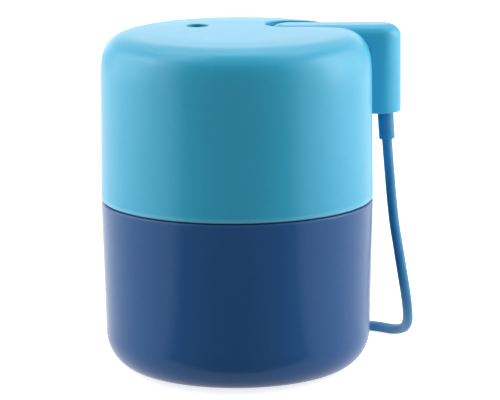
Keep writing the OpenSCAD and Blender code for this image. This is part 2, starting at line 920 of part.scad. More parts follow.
// Start switch on the upper plate, bored for its button
module start_switch() {
    color(graphite)
        beside_pencil()
            difference() {
                translate([switch_x, -switch_size[1] / 2, high_plate_z + plate_t])
                    cube(switch_size);
                translate([switch_x - over, 0, lever_z - lever_drop])
                    rotate([0, 90, 0])
                        cylinder(h = button_bore + over, r = button_r + run_gap);
            }
}

// Reed switch over the cup's magnet
module reed_switch() {
    color(graphite)
        translate([reed_at[0] - reed_size[0] / 2, reed_at[1] - reed_size[1] / 2, floor_z])
            cube(reed_size);
}

// Circuit board on its two standoffs
module circuit_board() {
    color("#2f6b3d")
        translate([board_at[0] - board_size[0] / 2, board_at[1] - board_size[1] / 2, board_z])
            cube(board_size);
}

// Smoothing capacitor on the board
module board_capacitor() {
    color(graphite)
        disc(capacitor_at, capacitor_r, board_top_z, board_top_z + capacitor_h);
}

// Motor driver chip on the board
module board_chip() {
    color(graphite)
        translate([chip_at[0], chip_at[1], board_top_z])
            cube(chip_size);
}

// Socket under the channel that the arm's plug block goes into
module power_socket() {
    wide = [plug_l + 2 * plug_gap, plug_w + 2 * plug_gap];
    color(graphite)
        translate([plug_x, arm_y, trough_z])
            difference() {
                translate([-wide[0] / 2 - socket_wall, -wide[1] / 2 - socket_wall, -socket_deep - socket_base])
                    cube([wide[0] + 2 * socket_wall, wide[1] + 2 * socket_wall, socket_deep + socket_base]);
                translate([-wide[0] / 2, -wide[1] / 2, -socket_deep])
                    cube([wide[0], wide[1], socket_deep + over]);
            }
}

// Two spring contacts inside the socket
module socket_contacts() {
    wide = plug_w + 2 * plug_gap;
    color(brass)
        for (side = [-1, 1])
            translate([plug_x - contact_w / 2, arm_y + side * (wide - contact_t) / 2 - contact_t / 2,
                trough_z - socket_deep])
                cube([contact_w, contact_t, socket_deep - contact_short]);
}

// Wires from the power socket to the board
module supply_wires() {
    color("#8c2f2a")
        for (side = [-wire_space / 2, wire_space / 2])
            swept(concat(
                [[plug_x + side, arm_y, socket_low_z], [plug_x + side, arm_y, socket_low_z - wire_space]],
                [[supply_bends[0][0] + side, supply_bends[0][1], socket_low_z - supply_drop]],
                [for (i = [1:3]) [supply_bends[i][0], supply_bends[i][1] + side, under_z]],
                [for (x = [wire_space, 0])
                    [supply_pad[0] + x, supply_pad[1] + side, board_z + board_size[2] / 2]]
            ), wire_r, wire_sides);
}

// Wires from the board to the motor's terminals
module motor_wires() {
    bend_x = motor_pad[0] + wire_bend;
    color("#2b2b2d")
        for (side = [-1, 1])
            let(y = motor_pad[1] + side * wire_space / 2, end_x = motor[0] - side * terminal_x)
                swept([
                    [motor_pad[0], y, board_top_z], [motor_pad[0], y, board_top_z + wire_rise],
                    [bend_x, y, board_top_z + wire_rise / 2], [bend_x + wire_space, y, under_z],
                    [end_x, terminal_y - wire_space, under_z], [end_x, terminal_y, under_z]
                ], wire_r, wire_sides);
}

// Frame that swings the cutter round the pencil
module carrier_frame() {
    color(white_plastic)
        difference() {
            union() {
                disc(pencil, pivot_r, hub_low_z + pivot_gap, carrier_base_z + disc_t / 2);
                disc(pencil, carrier_disc_r, carrier_base_z, carrier_base_z + disc_t);
                disc(pencil, disc_r, disc_z, disc_z + disc_t);
                disc(pencil, journal_r, disc_z, journal_top_z);
                for (turn = post_turns)
                    translate([pencil_x, pencil_y, carrier_base_z])
                        rotate([0, 0, carrier_angle + turn])
                            translate([post_ring_r, 0, 0])
                                cylinder(h = disc_z - carrier_base_z + small, r = post_r);
            }
            disc(pencil, journal_bore_r, disc_z - over, journal_top_z + over);
            on_cutter_axis()
                cylinder(h = (disc_z + disc_t - apex_z + over) / cos(cone_angle), r = axle_r);
        }
}

// Gear pressed on the carrier's journal
module carrier_gear() {
    color(white_plastic)
        translate([pencil_x, pencil_y, gear_z])
            difference() {
                rotate([0, 0, train_angle])
                    linear_extrude(height = carrier_gear_t)
                        polygon(gear_outline(carrier_teeth, drive_mod, wheel_tip, wheel_root, gear_slack));
                translate([0, 0, -over])
                    cylinder(h = carrier_gear_t + 2 * over, r = journal_r);
                for (i = [1:lightening_count])
                    rotate([0, 0, 360 * i / lightening_count])
                        translate([(journal_r + carrier_teeth * drive_mod / 2) / 2 - lightening_in, 0, -over])
                            cylinder(h = carrier_gear_t + 2 * over, r = lightening_r);
            }
}

// Axle that the cutter turns on, held in both discs
module cutter_axle() {
    start = (carrier_base_z - apex_z + axle_in) / cos(cone_angle);
    color(steel)
        on_cutter_axis()
            translate([0, 0, start])
                cylinder(h = (disc_z + disc_t - apex_z - axle_in) / cos(cone_angle) - start, r = axle_r);
}

// Helical cutter with its sharp blades
module helical_cutter() {
    step = 360 / cutter_blades;
    blades = [
        for (i = [0:cutter_blades - 1])
            each [polar(cutter_r, i * step), polar(cutter_r - blade_heel[1], (i + blade_heel[0]) * step),
                polar(cutter_r - blade_gullet[1], (i + blade_gullet[0]) * step)]
    ];
    color(steel)
        on_cutter_axis()
            translate([0, 0, cutter_start])
                difference() {
                    linear_extrude(height = cutter_l, twist = cutter_twist, slices = twist_slices)
                        polygon(blades);
                    translate([0, 0, -over])
                        cylinder(h = cutter_l + 2 * over, r = axle_r + run_gap);
                }
}

// Pinion that turns the cutter as it rolls in the ring gear
module cutter_pinion() {
    whole = bevel_far * cos(pinion_cone);
    near = bevel_near * cos(pinion_cone);
    collar_z = cutter_start + cutter_l;
    color(white_plastic)
        on_cutter_axis()
            difference() {
                union() {
                    bevel_teeth(pinion_teeth, near, whole, whole, pinion_tip, pinion_root, gear_slack);
                    translate([0, 0, collar_z])
                        cylinder(h = near - collar_z + small, r = collar_r);
                }
                translate([0, 0, collar_z - over])
                    cylinder(h = whole - collar_z + 2 * over, r = axle_r + run_gap);
            }
}

// Idler with its small gear under its large one
module idler_gear() {
    color(white_plastic)
        translate([idler[0], idler[1], 0])
            difference() {
                union() {
                    translate([0, 0, gear_z - idler_low])
                        rotate([0, 0, train_angle + 180 + 180 / idler_small_teeth])
                            linear_extrude(height = idler_z - gear_z + idler_low + small)
                                polygon(gear_outline(idler_small_teeth, drive_mod, pinion_tip, pinion_root,
                                    gear_slack));
                    translate([0, 0, idler_z])
                        rotate([0, 0, train_angle])
                            linear_extrude(height = idler_gear_t)
                                polygon(gear_outline(idler_large_teeth, drive_mod, wheel_tip, pinion_root,
                                    gear_slack));
                }
                disc([0, 0], axle_r + run_gap, gear_z - idler_low - over, idler_z + idler_gear_t + over);
            }
}

// Shaft of the motor
module motor_shaft() {
    color(steel)
        disc(motor, shaft_r, motor_base_z - shaft_tail, shaft_top_z);
}

// Wound core on the motor's shaft
module rotor_core() {
    color(brass)
        difference() {
            union() {
                disc(motor, core_r, motor_base_z + core_low, low_plate_z - core_high);
                disc(motor, commutator_r, motor_base_z + commutator_low, motor_base_z + core_low + small);
            }
            disc(motor, shaft_r, motor_base_z, low_plate_z);
        }
}

// Pinion pressed on the motor's shaft
module motor_pinion() {
    color(brass)
        translate([motor[0], motor[1], 0])
            difference() {
                translate([0, 0, idler_z - pinion_low])
                    rotate([0, 0, train_angle + 180 + 180 / motor_teeth])
                        linear_extrude(height = shaft_top_z - idler_z + pinion_low)
                            polygon(gear_outline(motor_teeth, drive_mod, pinion_tip, pinion_root, gear_slack));
                disc([0, 0], shaft_r, idler_z - pinion_low - over, shaft_top_z + over);
            }
}

// Lever whose finger the pencil pushes aside
module start_lever() {
    color(steel)
        beside_pencil() {
            translate([lever_x, 0, lever_z]) {
                rotate([90, 0, 0])
                    translate([0, 0, -lever_w / 2])
                        cylinder(h = lever_w, r = eye_r);
                rotate([90, 0, 0])
                    translate([0, 0, -lever_w / 2 - pin_out])
                        cylinder(h = lever_w + 2 * pin_out, r = lever_pin_r - run_gap);
                translate([-lever_t / 2, -lever_w / 2, -lever_drop - lever_tail])
                    cube([lever_t, lever_w, lever_drop + lever_tail]);
            }
            translate([lever_tip, -finger_w / 2, lever_z - lever_drop - finger_h / 2])
                cube([lever_x - lever_tip, finger_w, finger_h]);
        }
}

// Button of the start switch
module switch_button() {
    color("#a8322c")
        beside_pencil()
            translate([button_x, 0, lever_z - lever_drop])
                rotate([0, 90, 0])
                    cylinder(h = switch_x - button_x + button_in, r = button_r);
}

// Outer shell of the power arm
module arm_shell() {
    color(sky)
        difference() {
            arm_solid(0, arm_foot_z, arm_top_z);
            disc([0, 0], hug_r, arm_foot_z - over, arm_floor_z);
            difference() {
                arm_solid(arm_wall, arm_foot_z - over, arm_top_z - arm_wall);
                disc([0, 0], hug_r + arm_wall, arm_foot_z - 2 * over, arm_floor_z);
            }
        }
}

// Plate that closes the underside of the arm's bar
module arm_liner() {
    color(sky)
        intersection() {
            translate([0, 0, arm_floor_z])
                linear_extrude(height = liner_t)
                    stadium(arm_inner_x + plate_in, arm_outer_x - plate_in, arm_half_w - plate_in);
            disc([0, 0], hug_r + arm_wall, arm_floor_z, arm_floor_z + liner_t);
        }
}

// Foot plate of the arm's block, bored for the strain relief
module arm_foot() {
    color(sky)
        difference() {
            translate([0, 0, arm_foot_z])
                linear_extrude(height = liner_t)
                    stadium(arm_inner_x + plate_in, arm_outer_x - plate_in, arm_half_w - plate_in);
            disc([0, 0], hug_r + plate_in, arm_foot_z - over, arm_foot_z + liner_t + over);
            translate([relief_x, arm_y, arm_foot_z])
                rotate([0, -relief_lean, 0])
                    translate([0, 0, -over])
                        cylinder(h = liner_t + 2 * over, r = relief_r);
        }
}

// Plug block under the arm, with a recess for each contact
module arm_plug() {
    color(graphite)
        translate([plug_x, arm_y, arm_floor_z])
            difference() {
                translate([-plug_l / 2, -plug_w / 2, -plug_deep])
                    cube([plug_l, plug_w, plug_deep]);
                for (side = [-1, 1])
                    translate([-contact_w / 2, side * (plug_w - contact_t) / 2 - contact_t / 2,
                        -plug_deep - over])
                        cube([contact_w, contact_t, plug_deep - contact_short + over]);
            }
}

// Contacts on both sides of the plug block
module arm_contacts() {
    color(brass)
        for (side = [-1, 1])
            translate([plug_x - contact_w / 2, arm_y + side * (plug_w - contact_t) / 2 - contact_t / 2,
                arm_floor_z - plug_deep])
                cube([contact_w, contact_t, plug_deep - contact_short]);
}

// Strain relief in the foot of the arm
module strain_relief() {
    color(cord_blue)
        translate([relief_x, arm_y, arm_foot_z])
            rotate([0, -relief_lean, 0]) {
                translate([0, 0, -relief_l])
                    cylinder(h = relief_l + liner_t + collar_gap + small, r = relief_r);
                translate([0, 0, liner_t + collar_gap])
                    cylinder(h = collar_h, r = relief_r + collar_w);
            }
}

// Hanging stretch of the power cord
module cord_upper() {
    color(cord_blue)
        swept(upper_route, cord_r, cord_sides);
}

// Stretch of the cord that reaches the table and runs behind the body
module cord_lower() {
    color(cord_blue)
        swept(lower_route, cord_r, cord_sides);
}

// Outer shape of the coiled cord
module cord_coil() {
    color(cord_blue)
        translate([coil_at[0], coil_at[1], 0])
            rotate_extrude()
                translate([coil_mean_r - coil_w / 2, 0])
                    square([coil_w, coil_h]);
}

// Stretch of the cord from the coil to its plug
module cord_tail() {
    color(cord_blue)
        swept(tail_route, cord_r, cord_sides);
}

// Plug on the end of the cord
module usb_plug() {
    last = tail_route[len(tail_route) - 1];
    color(graphite)
        translate([last[0], last[1], 0])
            rotate([0, 0, plug_heading]) {
                translate([0, -plug_body[1] / 2, 0])
                    cube(plug_body);
                translate([plug_body[0] - small, -plug_shell[1] / 2, (plug_body[2] - plug_shell[2]) / 2])
                    cube(plug_shell);
            }
}

shavings_bin();
bin_magnet();
base_pad();
top_cover();
pencil_guide();
chassis();
grip_ring();
lower_bush();
upper_bush();
ring_gear();
lower_plate();
upper_plate();
for (i = [0:3]) pillar(i);
for (i = [0:2]) post(i);
for (i = [0:2]) plate_screw(i);
for (i = [0:2]) cover_screw(i);
motor_can();
motor_magnets();
motor_end_cap();
idler_axle();
start_switch();
reed_switch();
circuit_board();
board_capacitor();
board_chip();
power_socket();
socket_contacts();
supply_wires();
motor_wires();
carrier_frame();
carrier_gear();
cutter_axle();
helical_cutter();
cutter_pinion();
idler_gear();
motor_shaft();
rotor_core();
motor_pinion();
start_lever();
switch_button();
arm_shell();
arm_liner();
arm_foot();
arm_plug();
arm_contacts();
strain_relief();
cord_upper();
cord_lower();
cord_coil();
cord_tail();
usb_plug();
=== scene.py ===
"""Dresses the round desktop pencil sharpener and sets it in a plain studio.

Lengths are in metres, and every piece lies in the part's own frame: +Z is up, the power arm points
to +X and the origin is the middle of the base pad's underside.
"""

import logging
import math
from collections.abc import Callable, Iterable
from dataclasses import dataclass
from enum import Enum

import bmesh
import bpy
from mathutils import Matrix, Vector


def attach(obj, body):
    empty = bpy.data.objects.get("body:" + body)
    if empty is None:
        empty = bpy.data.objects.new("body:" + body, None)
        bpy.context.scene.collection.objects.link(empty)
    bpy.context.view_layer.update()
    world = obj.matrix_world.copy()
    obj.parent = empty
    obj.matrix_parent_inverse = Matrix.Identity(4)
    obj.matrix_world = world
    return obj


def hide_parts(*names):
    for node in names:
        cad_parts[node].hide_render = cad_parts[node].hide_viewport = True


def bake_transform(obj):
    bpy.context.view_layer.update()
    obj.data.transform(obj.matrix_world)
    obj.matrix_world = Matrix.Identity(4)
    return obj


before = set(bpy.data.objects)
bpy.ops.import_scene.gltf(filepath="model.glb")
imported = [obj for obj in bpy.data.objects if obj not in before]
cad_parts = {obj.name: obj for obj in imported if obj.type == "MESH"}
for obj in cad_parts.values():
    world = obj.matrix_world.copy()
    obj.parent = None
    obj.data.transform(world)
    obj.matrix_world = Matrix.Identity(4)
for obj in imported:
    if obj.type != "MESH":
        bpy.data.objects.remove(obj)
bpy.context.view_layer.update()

LOG = logging.getLogger("sharpener")
MM = 0.001
SPIN_STEPS = 240
ARC_STEPS = 40
# Points nearer to each other than WELD are one point, and a cut runs on past a face by CLEAR. A
# face is level if its normal's Z is over LEVEL, and an edge is sharp if it turns more than SHARP.
WELD = 1e-6
CLEAR = 1.0 * MM
LEVEL = 0.9999
SHARP = math.radians(30.0)
WHITE = (1.0, 1.0, 1.0, 1.0)
BLACK = (0.0, 0.0, 0.0, 1.0)
ORIGIN = (0.0, 0.0, 0.0)
UP = (0.0, 0.0, 1.0)
Point2 = tuple[float, float]
Point3 = tuple[float, float, float]
Colour = tuple[float, float, float]


# ---------------------------------------------------------------- shader maths


class Signal:
    """A shader socket that Python's operators work on."""

    def __init__(self, bench: "Bench", socket: bpy.types.NodeSocket) -> None:
        """Keeps the socket and the bench that its nodes are made on."""
        self.bench = bench
        self.socket = socket

    def __add__(self, other: "Signal | float") -> "Signal":
        """Adds two values."""
        return self.bench.maths("ADD", self, other)

    def __sub__(self, other: "Signal | float") -> "Signal":
        """Takes one value from another."""
        return self.bench.maths("SUBTRACT", self, other)

    def __rsub__(self, other: "Signal | float") -> "Signal":
        """Takes this value from a number."""
        return self.bench.maths("SUBTRACT", other, self)

    def __mul__(self, other: "Signal | float") -> "Signal":
        """Multiplies two values."""
        return self.bench.maths("MULTIPLY", self, other)

    __radd__ = __add__
    __rmul__ = __mul__

    def between(self, low: float, high: float) -> "Signal":
        """Rises smoothly from 0 at one level to 1 at another.

        Args:
            low: Level at which the result is 0.
            high: Level at which the result is 1.

        Returns:
            The smoothed step.
        """
        return self.bench.node(
            "ShaderNodeMapRange",
            {"interpolation_type": "SMOOTHSTEP"},
            {"Value": self, "From Min": low, "From Max": high},
        )


class Bench:
    """Makes the nodes of one material, or of the world."""

    def __init__(self, owner: bpy.types.Material | bpy.types.World) -> None:
        """Empties the owner's nodes.

        Args:
            owner: The material or the world.
        """
        self.owner = owner
        self.of_world = isinstance(owner, bpy.types.World)
        owner.use_nodes = True
        self.tree = owner.node_tree
        self.tree.nodes.clear()

    def node(
        self,
        kind: str,
        settings: dict[str, object] | None = None,
        inputs: dict[str | int, object] | None = None,
        output: str | int = 0,
    ) -> Signal:
        """Adds one node.

        Args:
            kind: Blender's name for the node's type.
            settings: Properties of the node.
            inputs: Values or signals for its sockets.
            output: Socket that the result is read from.

        Returns:
            The node's output.
        """
        node = self.tree.nodes.new(kind)
        for key, value in (settings or {}).items():
            setattr(node, key, value)
        for key, value in (inputs or {}).items():
            if isinstance(value, Signal):
                self.tree.links.new(value.socket, node.inputs[key])
            else:
                node.inputs[key].default_value = value
        return Signal(self, node.outputs[output])

    def maths(self, operation: str, a: Signal | float, b: Signal | float) -> Signal:
        """Adds a Math node on two values."""
        return self.node("ShaderNodeMath", {"operation": operation}, {0: a, 1: b})

    def place(self, scale: Point3 = (1.0, 1.0, 1.0), turn: float = 0.0) -> Signal:
        """Gives the object's own coordinates.

        Args:
            scale: Stretch of the pattern along each axis.
            turn: Turn of the pattern about the vertical, in radians.

        Returns:
            The coordinates.
        """
        own = self.node("ShaderNodeTexCoord", output="Object")
        inputs = {"Vector": own, "Scale": scale, "Rotation": (0.0, 0.0, turn)}
        return self.node("ShaderNodeMapping", None, inputs)

    def noise(
        self, where: Signal, per_metre: float, detail: float = 2.0, rough: float = 0.5
    ) -> Signal:
        """Adds a noise pattern.

        Args:
            where: Coordinates.
            per_metre: How many cells fit in a metre.
            detail: Octaves of finer noise.
            rough: Strength of the finer noise.

        Returns:
            A value from 0 to 1.
        """
        inputs = {"Vector": where, "Scale": per_metre, "Detail": detail, "Roughness": rough}
        return self.node("ShaderNodeTexNoise", None, inputs)

    def height_of(self, where: Signal) -> Signal:
        """Gives the height of a point of the surface."""
        return self.node("ShaderNodeSeparateXYZ", None, {"Vector": where}, "Z")

    def shade(self, a: Colour | Signal, b: Colour | Signal, share: Signal) -> Signal:
        """Mixes two colours.

        Args:
            a: Colour where the share is 0.
            b: Colour where the share is 1.
            share: Share of the second colour.

        Returns:
            The mixed colour.
        """
        first, second = (c if isinstance(c, Signal) else (*c, 1.0) for c in (a, b))
        inputs = {0: share, 6: first, 7: second}
        return self.node("ShaderNodeMix", {"data_type": "RGBA"}, inputs, 2)

    def bump(
        self, height: Signal, depth: float, strength: float, under: Signal | None = None
    ) -> Signal:
        """Adds relief.

        Args:
            height: Pattern from 0 to 1.
            depth: Depth of the relief.
            strength: Strength of the relief.
            under: Relief that this one lies on.

        Returns:
            The bent normal.
        """
        inputs = {"Height": height, "Distance": depth, "Strength": strength}
        if under is not None:
            inputs["Normal"] = under
        return self.node("ShaderNodeBump", None, inputs)

    def glow(self, strength: Signal | float) -> Signal:
        """Adds a white shader that gives light of its own."""
        kind = "ShaderNodeBackground" if self.of_world else "ShaderNodeEmission"
        return self.node(kind, None, {"Color": WHITE, "Strength": strength})

    def seen_directly(self) -> Signal:
        """Tells rays that show the backdrop: the camera's, and those in gloss and glass.

        Returns:
            1 for such a ray, or else 0.
        """
        kinds = ("Camera", "Glossy", "Transmission")
        camera, gloss, glass = (
            self.node("ShaderNodeLightPath", output=f"Is {kind} Ray") for kind in kinds
        )
        return self.maths("MAXIMUM", self.maths("MAXIMUM", camera, gloss), glass)

    def surface(self, **sockets: object) -> bpy.types.Material:
        """Closes the material with one principled surface.

        Args:
            **sockets: Values or signals, by socket name with its spaces as underscores.

        Returns:
            The finished material.
        """
        inputs = {key.replace("_", " "): value for key, value in sockets.items()}
        return self.closed(self.node("ShaderNodeBsdfPrincipled", None, inputs, "BSDF"))

    def closed(self, shader: Signal) -> bpy.types.Material | bpy.types.World:
        """Links a shader to the output.

        Args:
            shader: The shader.

        Returns:
            The finished material or world.
        """
        kind = "ShaderNodeOutputWorld" if self.of_world else "ShaderNodeOutputMaterial"
        output = self.tree.nodes.new(kind)
        self.tree.links.new(shader.socket, output.inputs["Surface"])
        return self.owner


# ---------------------------------------------------------------- finishes


def tinted(colour: Colour, share: float, lift: float = 0.0) -> Colour:
    """Scales a colour and lifts it."""
    return tuple(share * c + lift for c in colour)


@dataclass(frozen=True)
class Finish:
    """A finish that pieces are dressed in."""

    name: str
    colour: Colour

    def material(self) -> bpy.types.Material:
        """Gives the finish's material, made once."""
        found = bpy.data.materials.get(self.name)
        return found or self.build(Bench(bpy.data.materials.new(self.name)))

    def build(self, bench: Bench) -> bpy.types.Material:
        """Makes the material's nodes."""
        raise NotImplementedError

    def dress(self, piece: bpy.types.Object) -> None:
        """Puts the finish on a whole piece."""
        piece.data.materials.clear()
        piece.data.materials.append(self.material())


@dataclass(frozen=True)
class SatinPlastic(Finish):
    """Moulded plastic with a fine spark-eroded grain and a soft sheen."""

    roughness: float = 0.3
    gloss: float = 0.5
    clouds_per_metre: float = 26.0
    mottle_per_metre: float = 420.0
    grain_per_metre: float = 2600.0
    rubs_per_metre: float = 190.0
    patches_per_metre: float = 300.0
    relief_depth: float = 0.012 * MM
    # Edges at these heights are lightened: partly rubbed wear, partly a painted highlight.
    edge_heights: tuple[float, ...] = ()
    edge_reach: float = 1.5 * MM
    wear_and_highlight_lift: float = 0.02

    def build(self, bench: Bench) -> bpy.types.Material:
        """Makes the grain, cloudy sheen, handling marks, and rubbed edges with a painted highlight.

        Args:
            bench: Bench of the new material.

        Returns:
            The material.
        """
        where = bench.place()
        clouds = bench.noise(where, self.clouds_per_metre, 4.0, 0.55)
        mottle = bench.noise(where, self.mottle_per_metre, 3.0)
        grain = bench.noise(where, self.grain_per_metre, 2.0, 0.6)
        streaks = bench.place((1.0, 1.0, 0.16), 0.4)
        rubbed = bench.noise(streaks, self.rubs_per_metre, 5.0, 0.62).between(0.6, 0.78)
        tint = clouds * 0.6 + mottle * 0.4
        darker, paler = tinted(self.colour, 0.97), tinted(self.colour, 1.015, 0.002)
        colour = bench.shade(darker, paler, tint.between(0.3, 0.7))
        roughness = self.roughness - 0.04 + clouds * 0.06 + grain * 0.05 - rubbed * 0.035
        # Lightens each edge height: partly rubbed wear, partly a painted highlight on the lips.
        for level in self.edge_heights:
            off = bench.node(
                "ShaderNodeMath", {"operation": "ABSOLUTE"}, {0: bench.height_of(where) - level}
            )
            near = 1.0 - off.between(0.0, self.edge_reach)
            patches = bench.noise(where, self.patches_per_metre, 4.0, 0.7).between(0.42, 0.68)
            wear_and_highlight = near * (0.6 + 0.4 * patches)
            colour = bench.shade(colour, tinted(self.colour, 1.0, self.wear_and_highlight_lift), wear_and_highlight)
            roughness = roughness - wear_and_highlight * 0.07
        relief = bench.bump(mottle, self.relief_depth, 0.2)
        relief = bench.bump(grain, self.relief_depth, 0.5, relief)
        return bench.surface(
            Base_Color=colour, Roughness=roughness, Normal=relief, Specular_IOR_Level=self.gloss
        )


@dataclass(frozen=True)
class MattPlastic(Finish):
    """Glass-filled plastic of the inner pieces, with flow marks."""

    roughness: float = 0.5
    subsurface: float = 0.0
    flow_per_metre: float = 60.0
    speckles_per_metre: float = 1800.0

    def build(self, bench: Bench) -> bpy.types.Material:
        """Makes the speckle, the flow marks and the fine grain.

        Args:
            bench: Bench of the new material.

        Returns:
            The material.
        """
        flow = bench.noise(bench.place((1.0, 0.35, 0.35), 0.7), self.flow_per_metre, 5.0, 0.6)
        speckle = bench.noise(bench.place(), self.speckles_per_metre, 2.0)
        tint = flow * 0.7 + speckle * 0.3
        darker, paler = tinted(self.colour, 0.85), tinted(self.colour, 1.08, 0.01)
        return bench.surface(
            Base_Color=bench.shade(darker, paler, tint.between(0.3, 0.7)),
            Roughness=self.roughness - 0.06 + flow * 0.08 + speckle * 0.08,
            Normal=bench.bump(speckle, 0.02 * MM, 0.5),
            Subsurface_Weight=self.subsurface,
            Subsurface_Scale=1.5 * MM,
        )


@dataclass(frozen=True)
class Rubber(Finish):
    """Moulded rubber with a dusty bloom."""

    bloom_per_metre: float = 70.0
    grain_per_metre: float = 1500.0

    def build(self, bench: Bench) -> bpy.types.Material:
        """Makes the bloom and the open grain.

        Args:
            bench: Bench of the new material.

        Returns:
            The material.
        """
        where = bench.place()
        bloom = bench.noise(where, self.bloom_per_metre, 5.0, 0.65)
        grain = bench.noise(where, self.grain_per_metre, 3.0)
        dusty = tinted(self.colour, 1.5, 0.02)
        return bench.surface(
            Base_Color=bench.shade(self.colour, dusty, bloom.between(0.5, 0.8)),
            Roughness=0.62 + bloom * 0.2 + grain * 0.08,
            Normal=bench.bump(grain, 0.04 * MM, 0.6),
        )


class Lay(Enum):
    """Direction in which a metal was worked."""

    ROLLED = (1.0, 0.03, 1.0)
    TURNED = (0.04, 0.04, 1.0)
    CAST = (1.0, 1.0, 1.0)


@dataclass(frozen=True)
class WorkedMetal(Finish):
    """Bare metal with the marks of its making and slight tarnish."""

    lay: Lay = Lay.ROLLED
    roughness: float = 0.3
    marks_per_metre: float = 2400.0
    tarnish_per_metre: float = 90.0

    def build(self, bench: Bench) -> bpy.types.Material:
        """Makes the working marks and the tarnish.

        Args:
            bench: Bench of the new material.

        Returns:
            The material.
        """
        marks = bench.noise(bench.place(self.lay.value), self.marks_per_metre, 3.0, 0.6)
        tarnish = bench.noise(bench.place(), self.tarnish_per_metre, 5.0, 0.6).between(0.5, 0.78)
        share = tarnish * 0.55 + marks * 0.2
        return bench.surface(
            Base_Color=bench.shade(self.colour, tinted(self.colour, 0.66), share),
            Metallic=1.0,
            Roughness=self.roughness - 0.05 + marks * 0.14 + tarnish * 0.1,
            Normal=bench.bump(marks, 0.01 * MM, 0.5),
        )


@dataclass(frozen=True)
class WoundWire(Finish):
    """Varnished wire wound in close turns."""

    turns_per_metre: float = 420.0

    def build(self, bench: Bench) -> bpy.types.Material:
        """Makes the turns, with darker colour between them.

        Args:
            bench: Bench of the new material.

        Returns:
            The material.
        """
        turns = bench.node(
            "ShaderNodeTexWave",
            {"wave_type": "BANDS", "bands_direction": "Z"},
            {"Vector": bench.place(), "Scale": self.turns_per_metre, "Distortion": 0.6},
        )
        return bench.surface(
            Base_Color=bench.shade(tinted(self.colour, 0.35), self.colour, turns.between(0.1, 0.6)),
            Metallic=0.9,
            Roughness=0.42 - turns * 0.12,
            Normal=bench.bump(turns, 0.2 * MM, 0.8),
            Coat_Weight=0.4,
        )


@dataclass(frozen=True)
class CircuitLaminate(Finish):
    """Solder-masked board with tracks under the mask."""

    tracks_per_metre: float = 160.0
    track_width: float = 0.06
    track_pitch: float = 0.32
    weave_per_metre: float = 1600.0

    def build(self, bench: Bench) -> bpy.types.Material:
        """Makes the tracks and the weave of the glass cloth.

        Args:
            bench: Bench of the new material.

        Returns:
            The material.
        """
        pattern = {
            "Vector": bench.place(),
            "Color1": BLACK,
            "Color2": BLACK,
            "Mortar": WHITE,
            "Scale": self.tracks_per_metre,
            "Mortar Size": self.track_width,
            "Row Height": self.track_pitch,
        }
        tracks = bench.node("ShaderNodeTexBrick", {"offset": 0.35}, pattern, "Fac")
        weave = bench.noise(bench.place((1.0, 0.2, 1.0)), self.weave_per_metre)
        share = tracks * 0.8 + weave * 0.15
        return bench.surface(
            Base_Color=bench.shade(self.colour, tinted(self.colour, 1.7, 0.01), share),
            Roughness=0.3 + weave * 0.1,
            Normal=bench.bump(tracks, 0.06 * MM, 0.6),
        )


@dataclass(frozen=True)
class CordJacket(Finish):
    """Extruded cord jacket with a soft satin skin."""

    waves_per_metre: float = 110.0
    skin_per_metre: float = 2200.0
    scuffs_per_metre: float = 500.0

    def build(self, bench: Bench) -> bpy.types.Material:
        """Makes the extrusion's unevenness and the scuffs.

        Args:
            bench: Bench of the new material.

        Returns:
            The material.
        """
        where = bench.place()
        uneven = bench.noise(where, self.waves_per_metre, 3.0)
        skin = bench.noise(where, self.skin_per_metre, 2.0)
        scuff = bench.noise(where, self.scuffs_per_metre, 5.0, 0.7).between(0.62, 0.75)
        darker, paler = tinted(self.colour, 0.92), tinted(self.colour, 1.08, 0.006)
        colour = bench.shade(darker, paler, uneven.between(0.3, 0.7))
        return bench.surface(
            Base_Color=bench.shade(colour, tinted(self.colour, 0.85, 0.07), scuff * 0.25),
            Roughness=0.36 + uneven * 0.1 + skin * 0.05 + scuff * 0.1,
            Normal=bench.bump(skin, 0.012 * MM, 0.5),
        )


# The cover's lower lip gets a strong painted highlight, mixed with rubbed wear.
SKY = SatinPlastic(
    "satin_sky_plastic", (0.03, 0.485, 0.757), 0.3, edge_heights=(64.4 * MM,), wear_and_highlight_lift=0.13
)
# The cup's rim at the seam is lightened a little: rubbed wear and a faint painted highlight.
NAVY = SatinPlastic(
    "satin_navy_plastic", (0.018, 0.112, 0.33), 0.23, gloss=0.25, edge_heights=(63.3 * MM,)
)
GRAPHITE = MattPlastic("graphite_plastic", (0.045, 0.048, 0.055), 0.5)
ACETAL = MattPlastic("white_acetal", (0.78, 0.78, 0.75), 0.38, 0.2)
RUBBER = Rubber("black_rubber", (0.028, 0.028, 0.03))
STEEL = WorkedMetal("rolled_steel", (0.56, 0.57, 0.58), Lay.ROLLED, 0.32)
TURNED_STEEL = WorkedMetal("turned_steel", (0.6, 0.6, 0.61), Lay.TURNED, 0.24)
BRASS = WorkedMetal("turned_brass", (0.72, 0.5, 0.2), Lay.TURNED, 0.26)
COPPER = WoundWire("wound_copper", (0.66, 0.3, 0.12))
BOARD = CircuitLaminate("green_laminate", (0.03, 0.16, 0.06))
RED_WIRE = MattPlastic("red_insulation", (0.42, 0.03, 0.025), 0.35)
BLACK_WIRE = MattPlastic("black_insulation", (0.03, 0.03, 0.032), 0.35)
RED_BUTTON = MattPlastic("red_button_plastic", (0.5, 0.04, 0.03), 0.32)
BLUE_JACKET = CordJacket("blue_cord_jacket", (0.018, 0.245, 0.5))
BLACK_PLUG = SatinPlastic("black_plug_plastic", (0.035, 0.036, 0.04), 0.42)
PLATED = WorkedMetal("plated_shell", (0.72, 0.72, 0.7), Lay.CAST, 0.2)


# ---------------------------------------------------------------- shaping


class Join(Enum):
    """Way in which one solid is put to another."""

    CUT = "DIFFERENCE"
    ADD = "UNION"
    KEEP = "INTERSECT"


